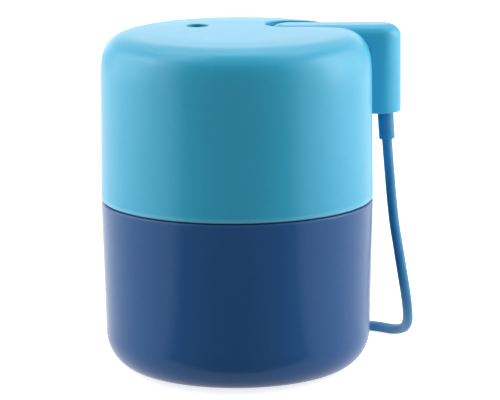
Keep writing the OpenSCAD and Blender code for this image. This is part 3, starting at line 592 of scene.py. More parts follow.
class Shape:
    """A mesh in the making."""

    def __init__(self) -> None:
        """Starts an empty mesh."""
        self.bm = bmesh.new()

    @classmethod
    def turned(cls, outline: list[Point2], steps: int = SPIN_STEPS) -> "Shape":
        """Turns an outline about the upright axis and closes both ends.

        Args:
            outline: Radius and height of each point, clear of the axis.
            steps: Divisions of the full turn.

        Returns:
            The closed solid.
        """
        shape = cls()
        verts = [shape.bm.verts.new((r, 0.0, z)) for r, z in outline]
        edges = [shape.bm.edges.new(pair) for pair in zip(verts, verts[1:])]
        bmesh.ops.spin(
            shape.bm,
            geom=verts + edges,
            cent=ORIGIN,
            axis=UP,
            angle=math.tau,
            steps=steps,
            use_merge=True,
        )
        bmesh.ops.remove_doubles(shape.bm, verts=shape.bm.verts[:], dist=WELD)
        rims = [e for e in shape.bm.edges if e.is_boundary]
        bmesh.ops.holes_fill(shape.bm, edges=rims, sides=steps + 1)
        bmesh.ops.recalc_face_normals(shape.bm, faces=shape.bm.faces[:])
        return shape

    @classmethod
    def prism(cls, outline: list[Point2], low: float, high: float) -> "Shape":
        """Raises a flat outline between two heights.

        Args:
            outline: Corners of the outline, in order.
            low: Lower height.
            high: Upper height.

        Returns:
            The closed solid.
        """
        shape = cls()
        base = shape.bm.faces.new([shape.bm.verts.new((x, y, low)) for x, y in outline])
        raised = bmesh.ops.extrude_face_region(shape.bm, geom=[base], use_keep_orig=True)
        verts = [v for v in raised["geom"] if isinstance(v, bmesh.types.BMVert)]
        bmesh.ops.translate(shape.bm, verts=verts, vec=(0.0, 0.0, high - low))
        bmesh.ops.recalc_face_normals(shape.bm, faces=shape.bm.faces[:])
        return shape

    @classmethod
    def block(cls, low: Iterable[float], high: Iterable[float]) -> "Shape":
        """Makes a box between two corners."""
        a, b = Vector(low), Vector(high)
        return cls.prism([(a.x, a.y), (b.x, a.y), (b.x, b.y), (a.x, b.y)], a.z, b.z)

    @classmethod
    def from_object(cls, piece: bpy.types.Object) -> "Shape":
        """Reads a piece's mesh with its modifiers.

        Args:
            piece: The piece.

        Returns:
            A copy of its mesh.
        """
        shape = cls()
        bpy.context.view_layer.update()
        seen = piece.evaluated_get(bpy.context.evaluated_depsgraph_get())
        shape.bm.from_mesh(seen.to_mesh())
        seen.to_mesh_clear()
        return shape

    def cut(self, tool: "Shape", how: Join = Join.CUT) -> "Shape":
        """Cuts this shape with another, or joins it to it.

        Args:
            tool: The other shape, which is used up.
            how: Way in which the two are put together.

        Returns:
            This shape.
        """
        body, other = self.as_object("cut_body"), tool.as_object("cut_tool")
        cutter = body.modifiers.new("cut", "BOOLEAN")
        cutter.operation, cutter.solver, cutter.object = how.value, "EXACT", other
        made = Shape.from_object(body)
        for piece in (body, other):
            mesh = piece.data
            bpy.data.objects.remove(piece)
            bpy.data.meshes.remove(mesh)
        bmesh.ops.remove_doubles(made.bm, verts=made.bm.verts[:], dist=WELD)
        self.bm = made.bm
        return self

    def sharp_edges(self, wanted: Callable[[Vector], bool]) -> list[bmesh.types.BMEdge]:
        """Finds edges that turn sharply and whose middle is wanted.

        Args:
            wanted: Says of an edge's middle whether it is wanted.

        Returns:
            The edges.
        """
        self.bm.normal_update()
        sharp = [e for e in self.bm.edges if e.is_manifold and e.calc_face_angle(0.0) > SHARP]
        return [e for e in sharp if wanted((e.verts[0].co + e.verts[1].co) / 2)]

    def make_room(self, edges: list[bmesh.types.BMEdge], room: float) -> None:
        """Welds points that lie too near some edges onto them, to fit a round beside the edges.

        Args:
            edges: The edges.
            room: Distance that is cleared.
        """
        rim = {v for e in edges for v in e.verts}
        moves = {}
        for vert in rim:
            for edge in vert.link_edges:
                other = edge.other_vert(vert)
                length = edge.calc_length()
                if other not in rim and length < moves.get(other, (room, None))[0]:
                    moves[other] = (length, vert)
        targets = {other: vert for other, (_, vert) in moves.items()}
        bmesh.ops.weld_verts(self.bm, targetmap=targets)

    def round_edges(
        self,
        width: float,
        wanted: Callable[[Vector], bool] = lambda middle: True,
        segments: int = 4,
        room: float = 0.0,
    ) -> "Shape":
        """Rounds sharp edges.

        Args:
            width: Width of the round on each face.
            wanted: Says of an edge's middle whether it is rounded.
            segments: Strips of the round.
            room: Distance beside the edges that is cleared of other points first.

        Returns:
            This shape.
        """
        if room > 0.0:
            self.make_room(self.sharp_edges(wanted), room)
        bmesh.ops.bevel(
            self.bm,
            geom=self.sharp_edges(wanted),
            offset=width,
            offset_type="OFFSET",
            segments=segments,
            profile=0.5,
            affect="EDGES",
            clamp_overlap=False,
            material=-1,
        )
        bmesh.ops.dissolve_degenerate(self.bm, edges=self.bm.edges[:], dist=WELD)
        return self

    def moved(self, matrix: Matrix) -> "Shape":
        """Moves or turns the whole shape."""
        bmesh.ops.transform(self.bm, matrix=matrix, verts=self.bm.verts[:])
        return self

    def joined(self, other: "Shape") -> "Shape":
        """Adds another shape's mesh to this one, as it is.

        Args:
            other: The other shape.

        Returns:
            This shape.
        """
        mesh = bpy.data.meshes.new("joined")
        other.bm.to_mesh(mesh)
        self.bm.from_mesh(mesh)
        bpy.data.meshes.remove(mesh)
        return self

    def as_object(self, name: str) -> bpy.types.Object:
        """Makes an object of the mesh as it is, which uses the shape up.

        Args:
            name: Name of the object.

        Returns:
            The object.
        """
        mesh = bpy.data.meshes.new(name)
        self.bm.to_mesh(mesh)
        self.bm.free()
        return placed(name, mesh)

    def finished(self, name: str, finish: Finish, sharp: float = 35.0) -> bpy.types.Object:
        """Makes a smooth-shaded piece in a finish.

        Args:
            name: Name of the piece.
            finish: Its finish.
            sharp: Angle above which an edge stays sharp, in degrees.

        Returns:
            The piece.
        """
        self.bm.normal_update()
        for face in self.bm.faces:
            face.smooth = True
        for edge in self.bm.edges:
            edge.smooth = edge.calc_face_angle(0.0) < math.radians(sharp)
        piece = self.as_object(name)
        piece.modifiers.new("even_shading", "WEIGHTED_NORMAL").keep_sharp = True
        finish.dress(piece)
        return piece


def placed(name: str, data: bpy.types.ID) -> bpy.types.Object:
    """Puts an object in the scene.

    Args:
        name: Name of the object.
        data: Its mesh, curve, lamp or camera.

    Returns:
        The object.
    """
    made = bpy.data.objects.new(name, data)
    bpy.context.scene.collection.objects.link(made)
    return made


def turned_by(degrees: float, axis: str) -> Matrix:
    """Gives a turn about one of the axes."""
    return Matrix.Rotation(math.radians(degrees), 4, axis)


def eased(share: float) -> float:
    """Eases a share, held between 0 and 1."""
    share = max(0.0, min(1.0, share))
    return share * share * (3 - 2 * share)


def arc(
    centre: Point2, w: float, h: float, start: float, stop: float, steps: int, power: float = 2.0
) -> list[Point2]:
    """Gives points on a quarter of a superellipse, or on any stretch of a circle.

    Args:
        centre: Centre of the curve.
        w: Half its width.
        h: Half its height.
        start: First direction, in degrees.
        stop: Last direction, in degrees.
        steps: Stretches between the points.
        power: Squareness of the curve, where 2 is an ellipse.

    Returns:
        The points, in order.
    """
    points = []
    for i in range(steps + 1):
        a = math.radians(start + (stop - start) * i / steps)
        c, s = math.cos(a), math.sin(a)
        x = centre[0] + w * math.copysign(abs(c) ** (2.0 / power), c)
        points.append((x, centre[1] + h * math.copysign(abs(s) ** (2.0 / power), s)))
    return points


def corner(centre: Point2, radius: float, start: float, stop: float, steps: int) -> list[Point2]:
    """Gives points on a stretch of a circle."""
    return arc(centre, radius, radius, start, stop, steps)


def circle(centre: Point2, radius: float, steps: int) -> list[Point2]:
    """Gives the corners of a circle."""
    return corner(centre, radius, 0.0, 360.0 - 360.0 / steps, steps - 1)


def stadium(
    from_x: float, to_x: float, middle_y: float, half_w: float, steps: int = ARC_STEPS
) -> list[Point2]:
    """Gives the outline of a bar with round ends that lies along X.

    Args:
        from_x: End at low X.
        to_x: End at high X.
        middle_y: Place of the bar's centre line.
        half_w: Half its width.
        steps: Stretches of each round end.

    Returns:
        The corners, in order.
    """
    right = corner((to_x - half_w, middle_y), half_w, -90.0, 90.0, steps)
    left = corner((from_x + half_w, middle_y), half_w, 90.0, 270.0, steps)
    return right + left


def slope(start: Point2, stop: Point2, steps: int = 8) -> list[Point2]:
    """Gives the points between the ends of a straight line, without its ends."""
    (x0, y0), (x1, y1) = start, stop
    return [(x0 + (x1 - x0) * i / steps, y0 + (y1 - y0) * i / steps) for i in range(1, steps)]


# ---------------------------------------------------------------- camera, floor and lights


@dataclass
class Lamp:
    """A softbox that faces the sharpener.

    Its azimuth is 0 at the front and 90 at the right side.
    """

    name: str
    azimuth: float
    elevation: float
    size: Point2
    strength: float
    distance: float = 1.1

    def hang(self, aim: Vector) -> None:
        """Hangs the lamp.

        Args:
            aim: Point that it faces.
        """
        light = bpy.data.lights.new(self.name, "AREA")
        light.shape = "RECTANGLE"
        light.size, light.size_y = self.size
        light.energy = self.strength
        lamp = placed(self.name, light)
        turn = turned_by(self.azimuth, "Z") @ turned_by(-self.elevation, "X")
        away = Matrix.Translation((0.0, -self.distance, 0.0)) @ turned_by(90.0, "X")
        lamp.matrix_world = Matrix.Translation(aim) @ turn @ away
        lamp.visible_camera = False


@dataclass(frozen=True)
class Camera:
    """The camera on its long lens, with small turns that frame the sharpener."""

    distance: float = 1231.2 * MM
    elevation: float = 11.264
    roll: float = 0.459
    turn_right: float = 0.219
    turn_down: float = 0.048
    lens: float = 240.4
    sensor: float = 36.0
    clip: Point2 = (0.05, 50.0)

    def place(self, aim: Vector) -> None:
        """Places the camera.

        Args:
            aim: Point that it faces, before its small turns.
        """
        lens = bpy.data.cameras.new("camera")
        lens.lens, lens.sensor_width = self.lens, self.sensor
        lens.clip_start, lens.clip_end = self.clip
        camera = placed("camera", lens)
        tilt = math.radians(self.elevation)
        away = self.distance * Vector((0.0, -math.cos(tilt), math.sin(tilt)))
        camera.matrix_world = (
            Matrix.Translation(aim + away)
            @ turned_by(90.0 - self.elevation, "X")
            @ turned_by(-self.roll, "Z")
            @ turned_by(-self.turn_right, "Y")
            @ turned_by(-self.turn_down, "X")
        )
        bpy.context.scene.camera = camera


@dataclass
class Studio:
    """The camera, the white floor and backdrop, and the softboxes."""

    aim: Point3 = (0.0, 0.0, 63.6 * MM)
    camera: Camera = Camera()
    floor_side: float = 12.0
    floor_cells: int = 8
    floor_white: float = 0.8
    floor_glow: float = 0.78
    full_glow_between: Point2 = (0.3, 1.0)
    screen_r: float = 1.5
    screen_z: Point2 = (0.01, 1.6)
    screen_turn: float = 96.0
    screen_steps: int = 24
    screen_dim: float = 0.3
    cloth_from: float = -0.052
    cloth_z: float = 0.0005
    ambient: float = 0.05
    side_elevation: float = 12.0
    side_size: Point2 = (0.48, 1.2)
    side_lamps: tuple[Point2, ...] = (
        (-117.0, 2.8), (-92.0, 4.4), (-67.0, 2.2), (67.0, 2.6), (92.0, 7.5), (117.0, 2.9),
    )
    high_lamps: tuple[Lamp, ...] = (
        Lamp("left_softbox", -90.0, 52.0, (0.5, 0.9), 2.7),
        Lamp("right_softbox", 90.0, 52.0, (0.5, 0.9), 1.3),
        Lamp("overhead_softbox", 180.0, 68.0, (1.2, 0.5), 2.9),
        Lamp("rear_softbox", 180.0, 48.0, (1.2, 0.5), 0.6),
        Lamp("low_softbox", 180.0, 8.0, (1.2, 0.3), 0.95),
    )

    def build(self) -> None:
        """Makes the camera, the floor, the lamps and the backdrop."""
        aim = Vector(self.aim)
        self.camera.place(aim)
        self.lay_floor()
        self.stand_screen()
        for turn, power in self.side_lamps:
            name = f"side_softbox_{turn:.0f}"
            Lamp(name, turn, self.side_elevation, self.side_size, power).hang(aim)
        for lamp in self.high_lamps:
            lamp.hang(aim)
        self.set_backdrop()
        bpy.context.scene.view_settings.view_transform = "Standard"

    def lay_floor(self) -> None:
        """Lays the pale floor, which keeps the sharpener's shadow."""
        shape, cells, half = Shape(), self.floor_cells, self.floor_side / 2
        bmesh.ops.create_grid(shape.bm, x_segments=cells, y_segments=cells, size=half)
        floor = shape.as_object("floor")
        bench = Bench(bpy.data.materials.new("pale_floor"))
        pale = (*(self.floor_white,) * 3, 1.0)
        lit = bench.node("ShaderNodeBsdfDiffuse", None, {"Color": pale})
        away = bench.node(
            "ShaderNodeVectorMath", {"operation": "LENGTH"}, {0: bench.place()}, "Value"
        )
        rise = (1.0 - self.floor_glow) * away.between(*self.full_glow_between)
        glow = bench.glow(self.floor_glow + rise)
        white = bench.node("ShaderNodeAddShader", None, {0: lit, 1: glow})
        shown = {0: bench.seen_directly(), 1: lit, 2: white}
        floor.data.materials.append(bench.closed(bench.node("ShaderNodeMixShader", None, shown)))

    def stand_screen(self) -> None:
        """Stands a dim screen behind the camera, with a dim cloth before it.

        They keep the front from being lit flat.
        """
        shape = Shape()
        foot = Vector((0.0, -self.screen_r, 0.0)) @ turned_by(self.screen_turn / 2, "Z").to_3x3()
        verts = [shape.bm.verts.new((foot.x, foot.y, z)) for z in self.screen_z]
        edge = shape.bm.edges.new(verts)
        bmesh.ops.spin(
            shape.bm,
            geom=[*verts, edge],
            cent=ORIGIN,
            axis=UP,
            angle=math.radians(self.screen_turn),
            steps=self.screen_steps,
        )
        corners = [shape.bm.verts.new((x, y, self.cloth_z)) for x, y in self.cloth_corners()]
        shape.bm.faces.new(corners)
        screen = shape.as_object("dark_screen")
        bench = Bench(bpy.data.materials.new("dim_cloth"))
        screen.data.materials.append(bench.closed(bench.glow(self.screen_dim)))
        screen.visible_camera = False
        screen.visible_shadow = False

    def cloth_corners(self) -> list[Point2]:
        """Gives the corners of the cloth, which spreads from the sharpener to the screen.

        Returns:
            The corners, in order.
        """
        half = math.radians(self.screen_turn) / 2
        far_x, far_y = self.screen_r * math.sin(half), -self.screen_r * math.cos(half)
        near_x, near_y = self.cloth_from * math.tan(half), self.cloth_from
        return [(-far_x, far_y), (far_x, far_y), (-near_x, near_y), (near_x, near_y)]

    def set_backdrop(self) -> None:
        """Makes the world white where it is seen and dim where it lights."""
        world = bpy.data.worlds.new("backdrop")
        bpy.context.scene.world = world
        bench = Bench(world)
        plain, white = bench.glow(self.ambient), bench.glow(1.0)
        shown = {0: bench.seen_directly(), 1: plain, 2: white}
        bench.closed(bench.node("ShaderNodeMixShader", None, shown))


# ---------------------------------------------------------------- power cord


@dataclass
class CordCoil:
    """The coil that the cord is put away in: three turns inwards, then three outwards on top."""

    centre: Point2 = (2.0 * MM, 82.0 * MM)
    cord_r: float = 1.95 * MM
    column_r: tuple[float, ...] = (25.9 * MM, 22.0 * MM, 18.1 * MM)
    columns: tuple[int, ...] = (0, 1, 2, 2, 1, 0)
    start: float = 270.0
    stop: float = -1620.0
    step: float = 7.5
    shift_from: float = 120.0
    shift_over: float = 60.0
    lifts: tuple[Point3, ...] = ((-540.0, 60.0, 1.0), (-1380.0, 45.0, -1.0), (-1460.0, 50.0, 1.0))

    def path(self) -> list[Vector]:
        """Winds the coil, with directions that run down in degrees.

        Each lift gives the direction where the cord starts to climb or drop a layer, how far round
        it takes, and 1 or -1 for up or down.

        Returns:
            Points from the front of the coil to its left side.
        """
        points = []
        angle = self.start
        while angle >= self.stop:
            past = self.shift_from - angle
            turn = min(int(max(0.0, past) / 360.0), len(self.columns) - 2)
            share = eased((past - 360.0 * turn) / self.shift_over)
            before, after = (self.column_r[column] for column in self.columns[turn:turn + 2])
            radius = before * (1 - share) + after * share
            lift = sum(way * eased((at - angle) / over) for at, over, way in self.lifts)
            a = math.radians(angle)
            x, y = self.centre[0] + radius * math.cos(a), self.centre[1] + radius * math.sin(a)
            points.append(Vector((x, y, self.cord_r * (1 + 2 * lift))))
            angle -= self.step
        return points


@dataclass
class CoilStrap:
    """The rubber strap that holds the coil together, with its folded end on top."""

    coil: CordCoil
    turn: float = 40.0
    width: float = 7.0 * MM
    thick: float = 0.9 * MM
    slack: float = 0.2 * MM
    low: float = 0.05 * MM
    hollow_low: float = 0.3 * MM
    outer_round: float = 2.0 * MM
    inner_round: float = 1.3 * MM
    flap_ends: Point2 = (2.5 * MM, 1.5 * MM)
    flap_thick: float = 0.8 * MM
    flap_margin: float = 0.3 * MM

    def build(self) -> bpy.types.Object:
        """Makes the strap.

        Returns:
            The strap's piece.
        """
        reach = self.coil.cord_r + self.slack
        near, far = self.coil.column_r[-1] - reach, self.coil.column_r[0] + reach
        top, half, thick = 4 * self.coil.cord_r + self.slack, self.width / 2, self.thick

        def upper_corner(middle: Vector) -> bool:
            """Tells the upper edges that run along the strap's width."""
            return abs(middle.y) < half / 2 and middle.z > top / 2

        strap = Shape.block((near - thick, -half, self.low), (far + thick, half, top + thick))
        strap.round_edges(self.outer_round, upper_corner)
        hollow = Shape.block((near, -self.width, self.hollow_low), (far, self.width, top))
        strap.cut(hollow.round_edges(self.inner_round, upper_corner))
        low, high = top + thick, top + thick + self.flap_thick
        edge = half - self.flap_margin
        left, right = near + self.flap_ends[0], far - self.flap_ends[1]
        flap = Shape.block((left, -edge, low), (right, edge, high))
        strap.joined(flap.round_edges(self.flap_margin, segments=2))
        place = Matrix.Translation((*self.coil.centre, 0.0)) @ turned_by(self.turn, "Z")
        return strap.moved(place).finished("cord_tie", RUBBER)


@dataclass
class Plug:
    """The plug: an overmoulded body with grip grooves, and a metal shell with a tongue in it."""

    rear: Point2
    heading: float = 100.0
    length: float = 20.0 * MM
    width: float = 15.6 * MM
    height: float = 7.9 * MM
    corner: float = 1.8 * MM
    grips: int = 5
    grip_x: float = 5.0 * MM
    grip_pitch: float = 2.2 * MM
    grip_w: float = 0.9 * MM
    grip_deep: float = 0.5 * MM
    grip_margin: float = 1.6 * MM
    shell_x: Point2 = (19.2 * MM, 31.98 * MM)
    shell_w: float = 12.0 * MM
    shell_h: float = 4.5 * MM
    shell_round: float = 0.5 * MM
    metal: float = 0.35 * MM
    window_x: Point2 = (25.4 * MM, 27.6 * MM)
    window_y: float = 2.7 * MM
    window_half: float = 1.2 * MM
    tongue_in: Point2 = (0.5 * MM, 1.2 * MM)
    tongue_half: float = 5.4 * MM
    tongue_z: Point2 = (0.5 * MM, 2.1 * MM)

    def place(self) -> Matrix:
        """Gives the place of the plug's rear face."""
        return Matrix.Translation((*self.rear, 0.0)) @ turned_by(self.heading, "Z")

    def body(self) -> bpy.types.Object:
        """Makes the overmoulded body.

        Returns:
            The body's piece.
        """
        half, deep = self.width / 2, self.grip_deep
        body = Shape.block((0.0, -half, 0.0), (self.length, half, self.height))
        body.round_edges(self.corner, segments=5)
        low, high = self.grip_margin, self.height - self.grip_margin
        for side in (-half, half):
            for i in range(self.grips):
                x = self.grip_x + self.grip_pitch * i
                body.cut(Shape.block((x, side - deep, low), (x + self.grip_w, side + deep, high)))
        return body.moved(self.place()).finished("plug_body", BLACK_PLUG)

    def shell(self) -> bpy.types.Object:
        """Makes the metal shell, with its two windows and the tongue inside.

        Returns:
            The shell's piece.
        """
        (start, stop), metal, half = self.shell_x, self.metal, self.shell_w / 2
        low = (self.height - self.shell_h) / 2
        high = low + self.shell_h
        shell = Shape.block((start, -half, low), (stop, half, high))
        shell.round_edges(self.shell_round, lambda p: start + CLEAR < p.x < stop - CLEAR, 3)
        inner_low = (start + CLEAR, metal - half, low + metal)
        shell.cut(Shape.block(inner_low, (stop + CLEAR, half - metal, high - metal)))
        near, far = self.window_x
        for y in (-self.window_y, self.window_y):
            left, right = y - self.window_half, y + self.window_half
            shell.cut(Shape.block((near, left, high - CLEAR), (far, right, high + CLEAR)))
        tongue = Shape.block(
            (start + self.tongue_in[0], -self.tongue_half, low + self.tongue_z[0]),
            (stop - self.tongue_in[1], self.tongue_half, low + self.tongue_z[1]),
        )
        return shell.joined(tongue).moved(self.place()).finished("plug_shell", PLATED)


@dataclass
class PowerCord:
    """The cord from the arm's strain relief to the plug, with its coil and strap."""

    radius: float = 1.95 * MM
    spacing: float = 1.2 * MM
    dense_share: float = 0.25
    least_share: float = 0.3
    sides: int = 3
    blend_until: int = 16
    upper_mm: tuple[Point3, ...] = (
        (56.04, 18.4, 81.8), (56.3, 18.4, 78), (56.6, 18.4, 74), (57, 18.4, 69), (57.4, 18.4, 64),
        (57.9, 18.4, 58.5), (58.4, 18.4, 53.5), (59, 18.4, 48.5), (59.8, 18.4, 43.5),
        (60.6, 18.4, 38.5),
    )
    lower_mm: tuple[Point3, ...] = (
        (60.6, 18.4, 38.5), (61.4, 18.4, 33.5), (62.2, 19, 28.5), (63, 20.3, 23.6),
        (63.7, 22.4, 18.8), (64.2, 25.3, 14.4), (64.5, 29, 10.5), (64.3, 33.3, 7.2),
        (63.4, 37.9, 4.7), (61.6, 42.5, 3), (58.9, 46.7, 2.1), (55.2, 50.3, 1.95),
        (50.7, 53, 1.95), (45.6, 54.9, 1.95), (40, 56, 1.95), (32, 56.3, 1.95), (22, 56.2, 1.95),
        (12, 56.1, 1.95), (2, 56.1, 1.95),
    )
    tail_mm: tuple[Point3, ...] = (
        (-23.9, 82, 5.85), (-24.1, 87, 5.6), (-24.8, 92, 5), (-25.8, 97, 4.4), (-26.8, 101.2, 4),
        (-27.7, 105.2, 3.95),
    )

    def build(self) -> list[bpy.types.Object]:
        """Returns:
            The pieces.
        """
        route, tail = self.metres(self.lower_mm), self.metres(self.tail_mm)
        coil = CordCoil(cord_r=self.radius)
        upper = self.smooth(self.metres(self.upper_mm))
        lower = self.smooth(route + coil.path()[1:] + tail[1:])
        hanging = self.tube("power_cord_upper", upper)
        lying = self.tube("power_cord", lower)
        ends = Plug(tuple(tail[-1].xy))
        plug, shell, tie = ends.body(), ends.shell(), CoilStrap(coil).build()
        for piece in (plug, shell, tie):
            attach(piece, "bin")
        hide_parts("cord_upper")
        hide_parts("cord_lower", "cord_coil", "cord_tail")
        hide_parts("usb_plug")
        self.length(upper)
        self.length(lower)
        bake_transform(hanging)
        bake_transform(lying)
        return [hanging, lying, plug, shell, tie]

    @staticmethod
    def metres(route: tuple[Point3, ...]) -> list[Vector]:
        """Turns a route in millimetres into metres."""
        return [Vector(point) * MM for point in route]

    @staticmethod
    def length(points: list[Vector]) -> float:
        """Gives a path's length."""
        return sum((b - a).length for a, b in zip(points, points[1:]))

    def smooth(self, route: list[Vector]) -> list[Vector]:
        """Runs one smooth curve through a route, with points at an even spacing.

        Args:
            route: Points of the route.

        Returns:
            The curve's points.
        """
        padded = [2 * route[0] - route[1], *route, 2 * route[-1] - route[-2]]
        dense = []
        for before, a, b, after in zip(padded, padded[1:], padded[2:], padded[3:]):
            parts = max(2, round((b - a).length / (self.dense_share * self.spacing)))
            for i in range(parts):
                t = i / parts
                bend = (2 * before - 5 * a + 4 * b - after) * t**2
                twist = (3 * a - before - 3 * b + after) * t**3
                dense.append(0.5 * (2 * a + (b - before) * t + bend + twist))
        dense.append(route[-1])
        even, walked = [dense[0]], 0.0
        for a, b in zip(dense, dense[1:]):
            walked += (b - a).length
            if walked >= self.spacing:
                even.append(b)
                walked = 0.0
        if (even[-1] - dense[-1]).length > self.least_share * self.spacing:
            even.append(dense[-1])
        else:
            even[-1] = dense[-1]
        return even

    def tube(self, name: str, path: list[Vector]) -> bpy.types.Object:
        """Makes the cord's round tube along a path.

        Args:
            name: Name of the piece.
            path: Points of its centre line.

        Returns:
            The piece.
        """
        curve = bpy.data.curves.new(name, "CURVE")
        curve.dimensions = "3D"
        curve.bevel_depth = self.radius
        curve.bevel_resolution = self.sides
        curve.use_fill_caps = True
        spline = curve.splines.new("POLY")
        spline.points.add(len(path) - 1)
        for point, place in zip(spline.points, path):
            point.co = (*place, 1.0)
        holder = placed(f"{name}_line", curve)
        shape = Shape.from_object(holder)
        bpy.data.objects.remove(holder)
        bmesh.ops.remove_doubles(shape.bm, verts=shape.bm.verts[:], dist=WELD)
        bmesh.ops.recalc_face_normals(shape.bm, faces=shape.bm.faces[:])
        return shape.finished(name, BLUE_JACKET, 50.0)


# ---------------------------------------------------------------- casings


@dataclass
class Casing:
    """Sizes that the cover, the cup, the pad and the arm share.

    Of the last two, `past` is how far a tall cut runs on past the face it opens, and `near` is
    how close to a face an edge has to be to count as lying on it.
    """

    body_r: float = 50.0 * MM
    top_z: float = 125.5 * MM
    seam_high: float = 63.8 * MM
    seam_low: float = 63.4 * MM
    base_z: float = 0.6 * MM
    lip_r: float = 0.7 * MM
    arm_y: float = 18.4 * MM
    arm_floor_z: float = 117.0 * MM
    pad_t: float = 1.6 * MM
    past: float = 5.0 * MM
    near: float = 0.1 * MM


@dataclass
class Cover(Casing):
    """The domed cover with the arm's channel and the pencil hole."""

    lean: float = 0.35 * MM
    shoulder_w: float = 14.7 * MM
    shoulder_h: float = 18.2 * MM
    shoulder_power: float = 3.17
    shoulder_steps: int = 48
    crown: float = 0.35 * MM
    crown_from: float = 25.4 * MM
    crown_to: float = 40.0 * MM
    crown_depth: float = 8.0 * MM
    crown_grid: float = 2.0 * MM
    wall: float = 2.4 * MM
    rebate_r: float = 48.8 * MM
    rebate_h: float = 2.2 * MM
    pencil: Point2 = (-14.2 * MM, 14.8 * MM)
    hole_r: float = 4.05 * MM
    hole_deep: float = 8.0 * MM
    hole_round: float = 0.45 * MM
    channel_x: float = 10.8 * MM
    channel_half_w: float = 9.0 * MM
    channel_wall: float = 2.0 * MM
    channel_gap: float = 0.05 * MM
    channel_out: float = 40.0 * MM
    rim_round: float = 0.55 * MM
    rim_room: float = 0.62 * MM
    plug_hole: tuple[Point2, Point2] = ((27.4 * MM, 15.3 * MM), (36.6 * MM, 21.5 * MM))
    plug_hole_z: Point2 = (-4.0 * MM, 2.0 * MM)

    @property
    def floor_z(self) -> float:
        """Height of the channel's floor."""
        return self.arm_floor_z - self.channel_gap

    def build(self) -> list[bpy.types.Object]:
        """Makes the cover.

        Returns:
            The cover's piece, alone in a list.
        """
        shape = Shape.turned(self.shoulder(0.0) + self.lip())
        shape.cut(Shape.prism(self.channel(0.0), self.floor_z, self.top_z + self.past))
        hole = circle(self.pencil, self.hole_r, 96)
        shape.cut(Shape.prism(hole, self.top_z - self.hole_deep, self.top_z + CLEAR))
        shape.round_edges(self.hole_round, self.at_hole, 5)
        shape.round_edges(self.rim_round, self.at_channel, 4, self.rim_room)
        self.soften_top(shape)
        shape.cut(self.cavity())
        near, far = self.plug_hole
        low, high = (self.floor_z + z for z in self.plug_hole_z)
        shape.cut(Shape.block((*near, low), (*far, high)))
        piece = shape.finished("cover_dome", SKY)
        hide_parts("top_cover")
        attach(piece, "head")
        return [piece]

    def at_hole(self, middle: Vector) -> bool:
        """Tells the upper edge of the pencil hole."""
        off = (middle.xy - Vector(self.pencil)).length - self.hole_r
        return off < 2 * self.near and middle.z > self.top_z - CLEAR

    def at_channel(self, middle: Vector) -> bool:
        """Tells the edges of the arm's channel."""
        off = abs(middle.y - self.arm_y) - self.channel_half_w
        above = middle.z > self.floor_z - CLEAR
        return above and off < self.near and middle.x > self.channel_x - CLEAR

    def soften_top(self, shape: Shape) -> None:
        """Lowers the top a little towards the shoulder, so that it runs softly into it.

        Args:
            shape: The cover, with its channel and hole cut and rounded.
        """
        reach = self.body_r - self.lean - self.shoulder_w
        cuts = round(2 * reach / self.crown_grid)
        for normal in (Vector((1.0, 0.0, 0.0)), Vector((0.0, 1.0, 0.0))):
            for i in range(1, cuts):
                shape.bm.normal_update()
                level = [f for f in shape.bm.faces if f.normal.z > LEVEL]
                faces = [f for f in level if f.verts[0].co.z > self.top_z - WELD]
                geom = {e for f in faces for e in f.edges} | {v for f in faces for v in f.verts}
                bmesh.ops.bisect_plane(
                    shape.bm,
                    geom=[*faces, *geom],
                    plane_co=normal * (reach * (2 * i / cuts - 1)),
                    plane_no=normal,
                    dist=WELD,
                )
        for vert in shape.bm.verts:
            out = (vert.co.xy.length - self.crown_from) / (self.crown_to - self.crown_from)
            up = 1.0 - (self.top_z - vert.co.z) / self.crown_depth
            vert.co.z -= self.crown * eased(out) * eased(up)

    def shoulder(self, inset: float) -> list[Point2]:
        """Gives the shoulder's outline from the flat top to the side.

        Args:
            inset: How far the outline is moved in.

        Returns:
            The outline's points.
        """
        w, h = self.shoulder_w, self.shoulder_h
        centre = (self.body_r - self.lean - w, self.top_z - h)
        return arc(
            centre, w - inset, h - inset, 90.0, 0.0, self.shoulder_steps, self.shoulder_power
        )

    def lip(self) -> list[Point2]:
        """Gives the side's outline from the shoulder down to the lower edge.

        Returns:
            The outline's points.
        """
        lip_z = self.seam_high + self.lip_r
        top = (self.body_r - self.lean, self.top_z - self.shoulder_h)
        side = slope(top, (self.body_r, lip_z))
        return side + corner((self.body_r - self.lip_r, lip_z), self.lip_r, 0.0, -90.0, 6)

    def channel(self, wall: float) -> list[Point2]:
        """Gives the outline of the arm's channel, widened by a wall."""
        far_x = self.body_r + self.channel_out
        return stadium(self.channel_x - wall, far_x, self.arm_y, self.channel_half_w + wall)

    def cavity(self) -> Shape:
        """Makes the space inside the cover, with the channel's trough left standing in it.

        Returns:
            The space as a solid.
        """
        bottom, step_z = self.seam_high - CLEAR, self.seam_high + self.rebate_h
        flat_r, inside = self.body_r - self.lean - self.shoulder_w, self.body_r - self.wall
        outline = [(flat_r, self.top_z - self.wall)] + self.shoulder(self.wall)[1:]
        outline += [(inside, step_z), (self.rebate_r, step_z), (self.rebate_r, bottom)]
        low = self.floor_z - self.channel_wall
        trough = Shape.prism(self.channel(self.channel_wall), low, self.top_z + self.past)
        return Shape.turned(outline).cut(trough)


